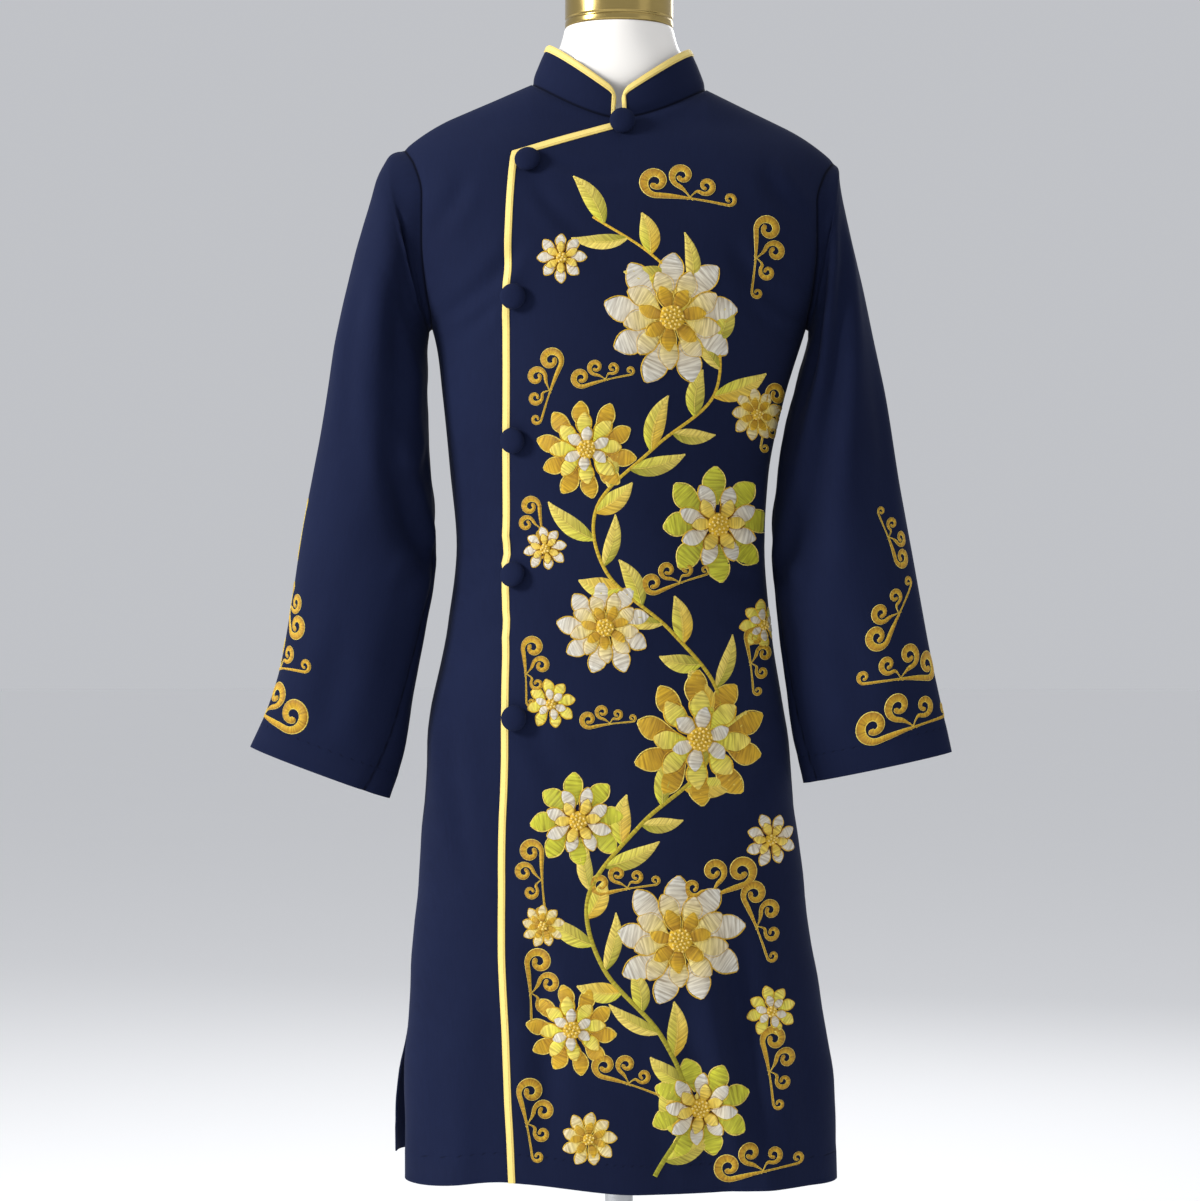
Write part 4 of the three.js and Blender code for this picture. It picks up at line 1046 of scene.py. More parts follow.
def neck_edge(right, left, back):
    """Panel edges round the neck, from the right front end round the back to the left one."""
    top = right.points.shape[0] - 1
    right_end = right.points.shape[1] - 1
    left_start = TRIM_COLUMNS + FINE
    side = SHOULDER_COLUMNS
    edges = [[(right, top, right_end - j)] for j in range(NECK_COLUMNS)]
    edges.append([(right, top, side), (back, top, side)])
    edges += [[(back, top, side + j)] for j in range(1, BACK_NECK_COLUMNS)]
    edges.append([(left, top, left_start + NECK_COLUMNS), (back, top, side + BACK_NECK_COLUMNS)])
    edges += [[(left, top, left_start + j)] for j in range(NECK_COLUMNS - 1, -1, -1)]
    return edges


def collar_piece(edges):
    feet = np.array([edge_point(edge, plain=True) for edge in edges])
    share = np.clip(feet[:, 0] / NECK_SIDE_X, -1, 1)
    front = feet[:, 1] < 0
    deep = np.sqrt(1 - share**2)
    z = np.where(
        front,
        mix(COLLAR_FRONT_Z, COLLAR_SIDE_Z, np.abs(share)),
        mix(COLLAR_BACK_Z, COLLAR_SIDE_Z, share**2),
    )
    x = COLLAR_HALF_WIDTH * share
    y = np.where(front, -COLLAR_FRONT * deep, COLLAR_BACK * deep)
    tops = np.stack([x, y, z - SHOULDER_TILT * x], axis=-1)
    ends = np.minimum(
        np.linalg.norm(feet - feet[0], axis=1), np.linalg.norm(feet - feet[-1], axis=1)
    )
    inside = np.clip(COLLAR_CORNER - ends, 0, COLLAR_CORNER)
    cut = COLLAR_CORNER - np.sqrt(COLLAR_CORNER**2 - inside**2)
    cut = np.where(ends < COLLAR_CORNER, cut, 0)
    tops = mix(tops, feet, (cut / np.linalg.norm(tops - feet, axis=1))[:, None])
    level = np.linspace(0, 1, COLLAR_ROWS)[:, None, None]
    points = mix(feet[None], tops[None], level)
    out = points.copy()
    out[..., 2] = 0
    points = points + unit(out) * COLLAR_BULGE * np.sin(math.pi * level)
    piece = Piece(points, -1)
    far = piece.distances(0)
    piece.mark(far, np.full(far.shape, float(HEM_MARK)))
    across = piece.distances(1)
    piece.uv = np.stack([across, far], axis=-1) * MM
    soft = 0.25 * ripple(across, far * 2) * (1 - bell(far, 10))
    piece.dress(soft + seam_profile(far))
    join(edges, piece, 1)
    return piece


@lru_cache(maxsize=1)
def garment():
    """All pieces of cloth. They are made together, because each seam shapes both its sides."""
    left, right, back = left_front(), right_front(), back_panel()
    return {
        "front_left": left,
        "front_right": right,
        "back": back,
        "sleeve_right": sleeve(armhole_edge(right, back, -1), -1),
        "sleeve_left": sleeve(armhole_edge(left, back, 1), 1),
        "collar": collar_piece(neck_edge(right, left, back)),
    }


# Meshes.

def quads(index, closed=False):
    if closed:
        index = np.concatenate([index, index[:, :1]], axis=1)
    corners = [index[:-1, :-1], index[:-1, 1:], index[1:, 1:], index[1:, :-1]]
    return np.stack(corners, axis=-1).reshape(-1, 4)


def band(a, b):
    return np.stack([a[1:], a[:-1], b[:-1], b[1:]], axis=-1)


def shell(outer, inner, closed=False):
    """Points and faces of a closed wall between two grids of the same size."""
    rows, columns = outer.shape[:2]
    index = np.arange(rows * columns).reshape(rows, columns)
    under = index + rows * columns
    ring = (lambda line: np.append(line, line[0])) if closed else (lambda line: line)
    faces = [quads(index, closed), quads(under, closed)[:, ::-1]]
    faces.append(band(ring(index[0]), ring(under[0])))
    faces.append(band(ring(index[-1])[::-1], ring(under[-1])[::-1]))
    if not closed:
        faces.append(band(index[:, 0][::-1], under[:, 0][::-1]))
        faces.append(band(index[:, -1], under[:, -1]))
    points = np.concatenate([outer.reshape(-1, 3), inner.reshape(-1, 3)])
    return points, np.concatenate(faces)


def facing_out(points, faces):
    """The same faces of a closed body, turned over if they face in."""
    a, b, c = (points[faces[:, k]] for k in range(3))
    volume = np.einsum("ij,ij->", a, np.cross(b, c))
    if faces.shape[1] == 4:
        d = points[faces[:, 3]]
        volume += np.einsum("ij,ij->", a, np.cross(c, d))
    return faces if volume > 0 else faces[:, ::-1]


def linked(name, data):
    """An object of that data, in the scene."""
    made = bpy.data.objects.new(name, data)
    bpy.context.scene.collection.objects.link(made)
    return made


def mesh_object(name, points, faces, surface, uv=None, marks=None, colour_map=None):
    """A smooth mesh object in metres, with its UV map and point attributes."""
    mesh = bpy.data.meshes.new(name)
    mesh.from_pydata((points * MM).tolist(), [], [list(map(int, face)) for face in faces])
    mesh.materials.append(surface)
    mesh.polygons.foreach_set("use_smooth", np.ones(len(mesh.polygons), bool))
    if uv is not None:
        order = np.empty(len(mesh.loops), int)
        mesh.loops.foreach_get("vertex_index", order)
        mesh.uv_layers.new(name="weave").data.foreach_set("uv", uv[order].ravel())
    for key, values in (marks or {}).items():
        mesh.attributes.new(key, "FLOAT", "POINT").data.foreach_set("value", values.ravel())
    if colour_map is not None:
        full = np.concatenate([colour_map, np.ones((len(colour_map), 1))], axis=1)
        layer = mesh.attributes.new("thread", "FLOAT_COLOR", "POINT")
        layer.data.foreach_set("color", full.ravel())
    mesh.set_sharp_from_angle(angle=math.radians(SHARP_DEGREES))
    mesh.update()
    return linked(name, mesh)


def cloth_object(name, piece, thickness):
    inner = piece.points - piece.normals * thickness
    points, faces = shell(piece.points, inner, piece.closed)
    twice = {key: np.concatenate([mark.ravel()] * 2) for key, mark in piece.marks.items()}
    uv = np.concatenate([piece.uv.reshape(-1, 2)] * 2)
    return mesh_object(name, points, facing_out(points, faces), material("cloth_navy"), uv, twice)


def strip_on(points, normals, gap, thickness):
    """A flat band on the cloth, from a grid of places on it with the way out at each."""
    across = points.shape[1]
    share = np.linspace(0, 1, across)[None, :, None]
    edge = np.clip(np.minimum(share, 1 - share) / BAND_ROUND, 0, 1)
    crown = gap + thickness * (0.45 + 0.55 * np.sqrt(1 - (1 - edge) ** 2))
    along = travelled(points[:, 0])[:, None] + np.zeros((1, across))
    band_points, faces = shell(points + normals * crown, points + normals * gap)
    wide = np.broadcast_to(share[..., 0], along.shape)
    uv = np.stack([along, wide * BAND_RIBBING], axis=-1).reshape(-1, 2) * MM
    marks = {"across": np.concatenate([wide.ravel()] * 2)}
    uv = np.concatenate([uv, uv])
    return band_points, faces, uv, marks, points + normals * crown


def capped(rings, first, last):
    """Points and faces of a body made of rings, with a fan to one point at each end."""
    points = rings.reshape(-1, 3)
    count, sides = len(points), rings.shape[1]
    index = np.arange(count).reshape(rings.shape[:2])
    faces = [list(face) for face in quads(index, closed=True)]
    for j in range(sides):
        k = (j + 1) % sides
        faces.append([count, index[0, k], index[0, j]])
        faces.append([count + 1, index[-1, j], index[-1, k]])
    return np.concatenate([points, [first, last]]), faces


def lathe(profile, sides, base_z=0.0):
    """A turned body from (radius, height) pairs, closed at both poles."""
    radius, height = np.array(profile, float).T[:, :, None]
    height = height + base_z
    angle = ring_angles(sides)
    rings = [radius * np.cos(angle), radius * np.sin(angle), height + 0 * angle]
    ends = ((0, 0, height[k, 0]) for k in (0, -1))
    return capped(np.stack(rings, axis=-1), *ends)


def rounded(profile, radius=1.2, steps=4):
    """The same profile with its inner corners rounded off."""
    made = [profile[0]]
    for before, at, after in zip(profile, profile[1:], profile[2:]):
        before, at, after = (np.array(p, float) for p in (before, at, after))
        a, b = before - at, after - at
        cut = min(radius, 0.45 * np.linalg.norm(a), 0.45 * np.linalg.norm(b))
        start, end = at + unit(a) * cut, at + unit(b) * cut
        for k in range(steps + 1):
            t = k / steps
            made.append((1 - t) ** 2 * start + 2 * t * (1 - t) * at + t * t * end)
    made.append(profile[-1])
    return made


# Shader sums.

class Wire:
    """A shader socket that does sums: each operator adds one node to the same tree."""

    def __init__(self, tree, socket=None):
        self.tree, self.socket = tree, socket

    def node(self, kind, settings=None, values=None, out=0):
        made = self.tree.nodes.new(kind)
        for key, value in (settings or {}).items():
            setattr(made, key, value)
        for key, value in (values or {}).items():
            self.plug(value, made.inputs[key])
        return Wire(self.tree, made.outputs[out])

    def plug(self, value, socket):
        if isinstance(value, Wire):
            self.tree.links.new(value.socket, socket)
        else:
            socket.default_value = value

    def sum(self, operation, *values):
        return self.node(
            "ShaderNodeMath", {"operation": operation}, dict(enumerate(values))
        )

    def __add__(self, other):
        return self.sum("ADD", self, other)

    def __sub__(self, other):
        return self.sum("SUBTRACT", self, other)

    def __rsub__(self, other):
        return self.sum("SUBTRACT", other, self)

    def __mul__(self, other):
        return self.sum("MULTIPLY", self, other)

    __radd__ = __add__

    def sine(self, period, phase=0.0):
        """Waves from 0 to 1 with a period in the wire's own unit."""
        return self.sum("SINE", self * (2 * math.pi / period) + phase) * 0.5 + 0.5

    def rise(self, low, high):
        """0 below low, 1 above high, smooth between."""
        return self.node(
            "ShaderNodeMapRange", {"interpolation_type": "SMOOTHSTEP"},
            {"Value": self, "From Min": low, "From Max": high},
        )

    def line(self, at, width):
        """1 on a line at a value, and 0 a width away from it."""
        return 1 - self.sum("ABSOLUTE", self - at).rise(0.0, width)

    def mix(self, a, b):
        """A colour between two, by this wire."""
        return self.node("ShaderNodeMix", {"data_type": "RGBA"}, {0: self, 6: a, 7: b}, out=2)

    def scaled(self, by):
        """This vector times another."""
        return self.node("ShaderNodeVectorMath", {"operation": "MULTIPLY"}, {0: self, 1: by})

    def axis(self, index):
        return self.node("ShaderNodeSeparateXYZ", None, {0: self}, out=index)

    def noise(self, where, scale, detail=3.0):
        return self.node(
            "ShaderNodeTexNoise", None, {"Vector": where, "Scale": scale, "Detail": detail}
        )


def rgba(values):
    return (*values, 1.0)


def material(name):
    """A material whose shader function gives its socket values and a height in mm."""
    known = bpy.data.materials.get(name)
    if known:
        return known
    made = bpy.data.materials.new(name)
    made.use_nodes = True
    tree = made.node_tree
    tree.nodes.clear()
    wire = Wire(tree)
    values, height = SHADERS[name](wire)
    bump = wire.node("ShaderNodeBump", None, {"Distance": MM, "Height": height})
    shader = wire.node("ShaderNodeBsdfPrincipled", None, {**values, "Normal": bump})
    output = tree.nodes.new("ShaderNodeOutputMaterial")
    tree.links.new(shader.socket, output.inputs["Surface"])
    return made


def attribute(wire, name, out=2):
    return wire.node("ShaderNodeAttribute", {"attribute_name": name}, out=out)


def uv_map(wire):
    return wire.node("ShaderNodeUVMap", {"uv_map": "weave"})


def object_place(wire):
    return wire.node("ShaderNodeTexCoord", out=3)


def cloth_shader(wire):
    """Smooth deep navy suiting: a fine twill, loose fibres, pressed hems and sunken seams, with
    painted shade in the seams and the stitch pits.
    """
    paint = colours()
    uv = uv_map(wire)
    u, v = uv.axis(0), uv.axis(1)
    seam, hem = attribute(wire, "seam"), attribute(wire, "hem")
    twill = (u + v).sine(0.0011)
    fibre = wire.noise(uv.scaled((1.0, 2.4, 1.0)), 1400.0, 2.0)
    broad = wire.noise(object_place(wire), 6.5, 2.0)
    slub = wire.noise(uv.scaled((1.0, 0.06, 1.0)), 900.0, 1.0)
    sewn = hem.line(1.0, 0.06)
    pits = sewn * (u + v).sine(0.0085).rise(0.82, 0.96)
    # Painted shade: the cloth is darkened in the seams' ditches and in the stitch pits along the
    # hems, where shade falls.
    ditch = 1 - seam.rise(0.0, 2.4)
    tone = fibre * 0.45 + twill * 0.2 + broad * 0.5 + slub * 0.25 - 0.2
    lit = tone.mix(rgba(paint.cloth_deep), rgba(paint.cloth))
    painted_shade = ditch * 0.85 + pits * 0.4
    base = painted_shade.mix(lit, rgba([0.35 * c for c in paint.cloth_deep]))
    rough = 0.86 - broad * 0.1 + fibre * 0.06 - hem.line(0.5, 0.5) * 0.04
    height = twill * 0.05 + fibre * 0.13 + slub * 0.05 - sewn * 0.16 - pits * 0.3
    values = {
        "Base Color": base,
        "Roughness": rough,
        "Specular IOR Level": 0.06,
        "Sheen Weight": 0.03,
        "Sheen Roughness": 0.4,
        "Sheen Tint": (0.55, 0.65, 1.0, 1.0),
    }
    return values, height


def trim_shader(wire):
    """Pale yellow ribbed band, folded under along both edges, with painted shade along its fold
    lines and towards its edges.
    """
    paint = colours()
    uv = uv_map(wire)
    u, v = uv.axis(0), uv.axis(1)
    across = attribute(wire, "across")
    rib = (u * 0.8 + v).sine(0.0007)
    cloud = wire.noise(uv, 260.0, 3.0)
    # Painted shade: the band is darkened along its two fold lines and towards both edges, where
    # shade falls. Pieces without the across mark, such as the stitches and knots, read 0 and take
    # the edges' painted shade all over.
    fold = across.line(0.16, 0.07) + across.line(0.84, 0.07)
    edge = 1 - across.rise(0.0, 0.12) + across.rise(0.88, 1.0)
    tone = 0.9 - fold * 0.5 - edge * 0.35 + rib * 0.12 - cloud * 0.22
    values = {
        "Base Color": tone.mix(rgba(paint.trim_shade_and_clouding), rgba(paint.trim)),
        "Roughness": 0.48 + cloud * 0.2 - rib * 0.05,
        "Sheen Weight": 0.25,
        "Sheen Roughness": 0.35,
    }
    return values, rib * 0.05 + cloud * 0.08 - fold * 0.18


def thread_shader(wire):
    """Glossy rayon thread laid side by side, in the colour that each stitch carries, with painted
    shade between the strands.
    """
    uv = uv_map(wire)
    dye = attribute(wire, "thread", out=0)
    strand = uv.axis(0).sine(0.0006)
    uneven = wire.noise(uv.scaled((1.0, 0.05, 1.0)), 1100.0, 2.0)
    sweep = wire.noise(uv.scaled((1.0, 0.4, 1.0)), 60.0, 1.0)
    streak = wire.noise(uv.scaled((1.0, 0.09, 1.0)), 430.0, 2.0)
    # Painted shade: the dye darkens between the strands, where shade falls. It also darkens in
    # random streaks and patches along the stroke.
    shade = 0.30 - strand * 0.14 + (streak - 0.5) * 2.4 + (uneven - 0.5) * 0.8
    deep = wire.node("ShaderNodeMix", {"data_type": "RGBA", "blend_type": "MULTIPLY"},
                     {0: 1.0, 6: dye, 7: (0.42, 0.36, 0.30, 1.0)}, out=2)
    values = {
        "Base Color": (shade + sweep * 0.2).mix(dye, deep),
        "Roughness": 0.42 + uneven * 0.2,
        "Specular IOR Level": 0.28,
        "Sheen Weight": 0.05,
        "Sheen Roughness": 0.3,
    }
    return values, strand * 0.12 + uneven * 0.18 + streak * 0.3


def shell_shader(wire):
    """Glossy off-white lacquer over a moulded shell, a little uneven."""
    paint = colours()
    place = object_place(wire)
    peel = wire.noise(place, 260.0, 2.0)
    broad = wire.noise(place, 9.0, 3.0)
    dust = wire.noise(place, 38.0, 5.0).rise(0.55, 0.8)
    warm = [0.93 * paint.shell[0], 0.90 * paint.shell[1], 0.84 * paint.shell[2]]
    values = {
        "Base Color": (broad * 0.7 + dust * 0.3).mix(rgba(paint.shell), rgba(warm)),
        "Roughness": 0.30 + broad * 0.1 + dust * 0.08,
        "Coat Weight": 0.5 - dust * 0.2,
        "Coat Roughness": 0.12,
    }
    return values, peel * 0.025 + broad * 0.2


def metal(wire, paint, rough, stretch):
    """Turned and brushed metal: fine rings round the axis and a few handling marks."""
    place = object_place(wire)
    rings = wire.noise(place.scaled(stretch), 900.0, 2.0)
    marks = wire.noise(place, 55.0, 4.0)
    smear = marks.rise(0.48, 0.75)
    deep = [0.72 * c for c in paint]
    values = {
        "Base Color": (rings * 0.5 + smear * 0.4).mix(rgba(paint), rgba(deep)),
        "Roughness": rough + rings * 0.08 + smear * 0.1,
        "Metallic": 1.0,
    }
    return values, rings * 0.02 + marks * 0.01


def brass_shader(wire):
    return metal(wire, colours().brass, 0.16, (0.05, 0.05, 1.0))


def steel_shader(wire):
    return metal(wire, colours().steel, 0.26, (0.08, 0.08, 1.0))


def floor_shader(wire):
    """Pale matt studio floor with faint clouding."""
    paint = colours()
    place = object_place(wire)
    cloud = wire.noise(place, 0.8, 3.0)
    grain = wire.noise(place, 90.0, 2.0)
    dim = [0.99 * c for c in paint.floor]
    values = {
        "Base Color": cloud.mix(rgba(dim), rgba(paint.floor)),
        "Roughness": 0.7 + grain * 0.1,
    }
    return values, grain * 0.05


SHADERS = {
    "cloth_navy": cloth_shader,
    "trim_yellow": trim_shader,
    "thread_satin": thread_shader,
    "form_shell": shell_shader,
    "studio_floor": floor_shader,
    "brass_turned": brass_shader,
    "steel_brushed": steel_shader,
}


# Geometry nodes: one small shape repeated along a path, or on the points of a mesh.

# The smallest of the repeated shapes, as a share of the largest.
LEAST_SIZE = 0.82
REPEAT_INPUTS = {
    "Path": "NodeSocketGeometry",
    "Shape": "NodeSocketObject",
    "Step": "NodeSocketFloat",
    "Least size": "NodeSocketFloat",
    "Seed": "NodeSocketInt",
    "Material": "NodeSocketMaterial",
}


def repeat_group(name, along_path):
    known = bpy.data.node_groups.get(name)
    if known:
        return known
    group = bpy.data.node_groups.new(name, "GeometryNodeTree")
    group.interface.new_socket("Geometry", in_out="OUTPUT", socket_type="NodeSocketGeometry")
    for key, kind in REPEAT_INPUTS.items():
        group.interface.new_socket(key, in_out="INPUT", socket_type=kind)
    wire = Wire(group)
    given = group.nodes.new("NodeGroupInput")
    inputs = {key: Wire(group, given.outputs[key]) for key in REPEAT_INPUTS}
    shape = wire.node("GeometryNodeObjectInfo", None, {"Object": inputs["Shape"]}, out=4)
    path = inputs["Path"]
    out = wire.node(
        "GeometryNodeInputNamedAttribute", {"data_type": "FLOAT_VECTOR"}, {"Name": "out"}
    )
    turn = wire.node("FunctionNodeAlignRotationToVector", {"axis": "Z"}, {"Vector": out})
    if along_path:
        curve = wire.node("GeometryNodeMeshToCurve", None, {"Mesh": path})
        path = wire.node(
            "GeometryNodeResampleCurve", {"mode": "LENGTH"},
            {"Curve": curve, "Length": inputs["Step"]},
        )
        tangent = wire.node("GeometryNodeInputTangent")
        turn = wire.node(
            "FunctionNodeAlignRotationToVector", {"axis": "X", "pivot_axis": "Z"},
            {"Rotation": turn, "Vector": tangent},
        )
    size = wire.node(
        "FunctionNodeRandomValue", {"data_type": "FLOAT"},
        {2: inputs["Least size"], 3: 1.0, "Seed": inputs["Seed"]}, out=1,
    )
    copies = wire.node(
        "GeometryNodeInstanceOnPoints", None,
        {"Points": path, "Instance": shape, "Rotation": turn, "Scale": size},
    )
    real = wire.node("GeometryNodeRealizeInstances", None, {"Geometry": copies})
    done = wire.node(
        "GeometryNodeSetMaterial", None, {"Geometry": real, "Material": inputs["Material"]}
    )
    output = group.nodes.new("NodeGroupOutput")
    group.links.new(done.socket, output.inputs[0])
    return group


def bead(name, half_length, radius, sides=6, rings=5):
    """A short rounded stitch along X, or a knot if it is as long as it is wide."""
    angle = math.pi * (np.arange(rings) + 0.5) / rings
    around = ring_angles(sides)
    x = -np.cos(angle)[:, None] * half_length + 0 * around
    wide = np.sin(angle)[:, None] ** 0.6 * radius
    points = np.stack([x, wide * np.cos(around), wide * np.sin(around)], axis=-1)
    index = np.arange(rings * sides).reshape(rings, sides)
    faces = [list(map(int, face)) for face in quads(index, closed=True)]
    faces += [list(range(sides))[::-1], [(rings - 1) * sides + k for k in range(sides)]]
    mesh = bpy.data.meshes.new(name)
    mesh.from_pydata((points.reshape(-1, 3) * MM).tolist(), [], faces)
    mesh.polygons.foreach_set("use_smooth", np.ones(len(mesh.polygons), bool))
    return linked(name, mesh)


def repeated(name, points, outs, shape, step, surface, along_path=True, seed=1):
    """The plain mesh that the node group makes of a shape and a path, in metres."""
    mesh = bpy.data.meshes.new(name)
    edges = [(i, i + 1) for i in range(len(points) - 1)] if along_path else []
    mesh.from_pydata((points * MM).tolist(), edges, [])
    layer = mesh.attributes.new("out", "FLOAT_VECTOR", "POINT")
    layer.data.foreach_set("vector", outs.astype(float).ravel())
    made = linked(name, mesh)
    kind = "Stitches along a path" if along_path else "Knots on points"
    group = repeat_group(kind, along_path)
    modifier = made.modifiers.new("Repeat", "NODES")
    modifier.node_group = group
    given = {"Shape": shape, "Step": step * MM, "Least size": LEAST_SIZE, "Seed": seed,
             "Material": surface}
    for item in group.interface.items_tree:
        if item.name in given:
            modifier[item.identifier] = given[item.name]
    graph = bpy.context.evaluated_depsgraph_get()
    plain = bpy.data.meshes.new_from_object(made.evaluated_get(graph))
    made.modifiers.remove(modifier)
    made.data = plain
    plain.name = name
    if not plain.polygons:
        raise RuntimeError(f"{name}: the node group made no faces")
    bpy.data.meshes.remove(mesh)
    return made


# Operators.

class GarmentOperator(bpy.types.Operator):
    """What the operators share: each one's build() makes its pieces."""

    bl_options = {"REGISTER", "UNDO"}

    def execute(self, context):
        self.build()
        return {"FINISHED"}


def place_piece(made, slot, *nodes):
    """Gives a piece its body and hides the nodes of the part that it replaces. The slot is not
    used.
    """
    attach(made, "root")
    if nodes:
        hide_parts(*nodes)


def cut_cloth(name):
    """One hung piece of cloth, with its flat size in metres."""
    thickness = (sizes().collar if name == "collar" else sizes().cloth) / MM
    made = cloth_object(f"cloth_{name}", garment()[name], thickness)
    place_piece(made, "cloth", name)


class GARMENT_OT_fronts(GarmentOperator):
    """Makes the two front panels."""

    bl_idname = "garment.fronts"
    bl_label = "Front panels"

    def build(self):
        cut_cloth("front_left")
        cut_cloth("front_right")


class GARMENT_OT_back(GarmentOperator):
    """Makes the back panel."""

    bl_idname = "garment.back"
    bl_label = "Back panel"

    def build(self):
        cut_cloth("back")


class GARMENT_OT_sleeves(GarmentOperator):
    """Makes the two sleeves."""

    bl_idname = "garment.sleeves"
    bl_label = "Sleeves"

    def build(self):
        cut_cloth("sleeve_right")
        cut_cloth("sleeve_left")


class GARMENT_OT_collar(GarmentOperator):
    """Makes the stand collar."""

    bl_idname = "garment.collar"
    bl_label = "Collar"

    def build(self):
        cut_cloth("collar")


def front_band():
    """Places under the front band: an even width inside the left front's edge."""
    piece = garment()["front_left"]
    wide = sizes().trim_width / MM
    edge = piece.points[:-1, 0][:, [0, 2]]
    top = piece.points[-1, : TRIM_COLUMNS + 1][:, [0, 2]]
    outer = np.concatenate([edge, top])
    inward = -left_of(outer)
    inner = outer + inward * wide
    run, climb = top[-1] - top[FINE]
    slope = float(climb / run)
    for _ in range(3):
        side_x = np.interp(inner[:, 1], edge[:, 1], edge[:, 0]) + wide
        inner[:, 0] = np.maximum(inner[:, 0], side_x)
        lid = top[FINE, 1] + slope * (inner[:, 0] - top[FINE, 0]) - wide * math.hypot(1, slope)
        inner[:, 1] = np.minimum(inner[:, 1], lid)
    outer = outer + inward * BAND_INSET
    share = np.linspace(0, 1, BAND_ACROSS)[None, :, None]
    places = mix(outer[:, None], inner[:, None], share)
    points, normals = Canvas(piece).lay(places.reshape(-1, 2))
    return points.reshape(*places.shape[:2], 3), normals.reshape(*places.shape[:2], 3)


def collar_band():
    """Places under the collar's band, along its ends and its top."""
    wide = sizes().trim_width / MM
    piece = garment()["collar"]
    rows, columns = piece.points.shape[:2]
    last, end = rows - 1, columns - 1
    along = piece.distances(1)[rows // 2]
    near = float(np.interp(wide, along, np.arange(columns)))
    tall = piece.distances(0)[last]
    low = [(1 - wide / tall[j]) * last for j in range(columns)]
    outer = [(i, 0) for i in range(last)] + [(last, j) for j in range(columns)]
    outer += [(i, end) for i in range(last - 1, -1, -1)]
    inner = []
    for i, j in outer:
        j_in = min(max(j, near), end - near)
        inner.append((min(i, low[int(round(j_in))]), j_in))
    share = np.linspace(0, 1, BAND_ACROSS)[None, :, None]
    places = mix(np.array(outer, float)[:, None], np.array(inner, float)[:, None], share)
    return piece.sample(places[..., 0], places[..., 1])


class GARMENT_OT_trims(GarmentOperator):
    """Makes the yellow bands and the stitches along their inner edges."""

    bl_idname = "garment.trims"
    bl_label = "Trims"

    def build(self):
        size, yellow = sizes(), material("trim_yellow")
        thread = size.thread / MM / 2
        stitch = bead("stitch_shape", size.stitch / MM / 2, thread)
        for name, made_by, long in (
            ("front_trim", front_band, 1.13), ("collar_trim", collar_band, 0.52)
        ):
            under, normals = made_by()
            points, faces, uv, marks, top = strip_on(
                under, normals, size.trim_gap / MM, size.trim_thickness / MM
            )
            made = mesh_object(f"band_{name}", points, facing_out(points, faces), yellow, uv,
                               marks)
            place_piece(made, "trim", name)
            line = mix(top[:, -2], top[:, -3], 0.4)
            rows = slice(2, -2)
            sewn = repeated(f"stitches_{name}", line[rows] + normals[rows, -2] * thread * 0.4,
                            normals[rows, -2], stitch, size.stitch_step / MM, yellow)
            place_piece(sewn, "trim")
        bpy.data.objects.remove(stitch)


class Canvas:
    """The front view of a piece: what is drawn on it is laid back onto the cloth."""

    REACH = 300
    BACKWARDS = Vector((0, 1, 0))

    def __init__(self, piece):
        index = np.arange(piece.points[..., 0].size).reshape(piece.points.shape[:2])
        faces = quads(index, piece.closed)
        self.tree = BVHTree.FromPolygons(piece.points.reshape(-1, 3).tolist(), faces.tolist())

    def lay(self, places):
        """The point on the cloth behind each (x, z) place, and the way out of it."""
        points, outs = np.empty((2, len(places), 3))
        for k, (x, z) in enumerate(places):
            start = Vector((x, -self.REACH, z))
            hit, normal, _, _ = self.tree.ray_cast(start, self.BACKWARDS)
            if hit is None:
                hit, normal, _, _ = self.tree.find_nearest(Vector((x, 0, z)))
            points[k] = hit
            outs[k] = normal if normal.y < 0 else -normal
        return points, outs


class Wrap:
    """A sleeve unrolled: across runs outwards round it, up runs from the cuff's edge."""

    def __init__(self, piece, middle):
        self.piece, self.middle = piece, middle
        ring = np.concatenate([piece.plain, piece.plain[:, :1]], axis=1)
        steps = np.linalg.norm(np.diff(ring, axis=1), axis=-1)
        self.around = np.concatenate([0 * steps[:, :1], np.cumsum(steps, axis=1)], axis=1)
        self.up = piece.distances(0, True)[:, 0]

    def column_at(self, row, across):
        around = self.around[row]
        return np.interp((self.middle - across) % around[-1], around, np.arange(len(around)))

    def lay(self, places):
        """The point on the cloth at each (across, up) place, and the way out of it."""
        rows = np.interp(-places[:, 1], -self.up, np.arange(len(self.up)))
        columns = []
        for row, across in zip(rows, places[:, 0]):
            low = min(int(row), len(self.up) - 2)
            first, second = self.column_at(low, across), self.column_at(low + 1, across)
            count = len(self.around[0]) - 1
            second += count * round((first - second) / count)
            columns.append(mix(first, second, row - low))
        return self.piece.sample(rows, np.array(columns))


class GARMENT_OT_buttons(GarmentOperator):
    """Makes the six cloth-covered buttons."""

    bl_idname = "garment.buttons"
    bl_label = "Buttons"

    def build(self):
        canvas = Canvas(garment()["front_left"])
        for name, (x, z, upright, proud) in BUTTON_PLACES.items():
            points, outs = canvas.lay(np.array([[x, z]], float))
            out = Vector(outs[0])
            axis = Vector((out.x, out.y, out.z * (1 - upright))).normalized()
            foot = BUTTON_SEAT + BUTTON_SHANK * math.tan(axis.angle(out, 0.0))
            body, faces = covered_button(foot, BUTTON_OFF + proud)
            turn = np.array(axis.to_track_quat("Z", "Y").to_matrix())
            body = body @ turn.T + points[0]
            flat = body[:, [0, 2]] * MM
            # Marks far from any seam and hem, so that the buttons take none of the cloth's painted
            # shade of seams and stitch pits.
            far = {"seam": SEAM_MARK, "hem": HEM_MARK}
            marks = {key: np.full(len(body), float(value)) for key, value in far.items()}
            made = mesh_object(f"covered_button_{name}", body, faces, material("cloth_navy"), flat,
                               marks)
            place_piece(made, "cloth", f"button_{name}")


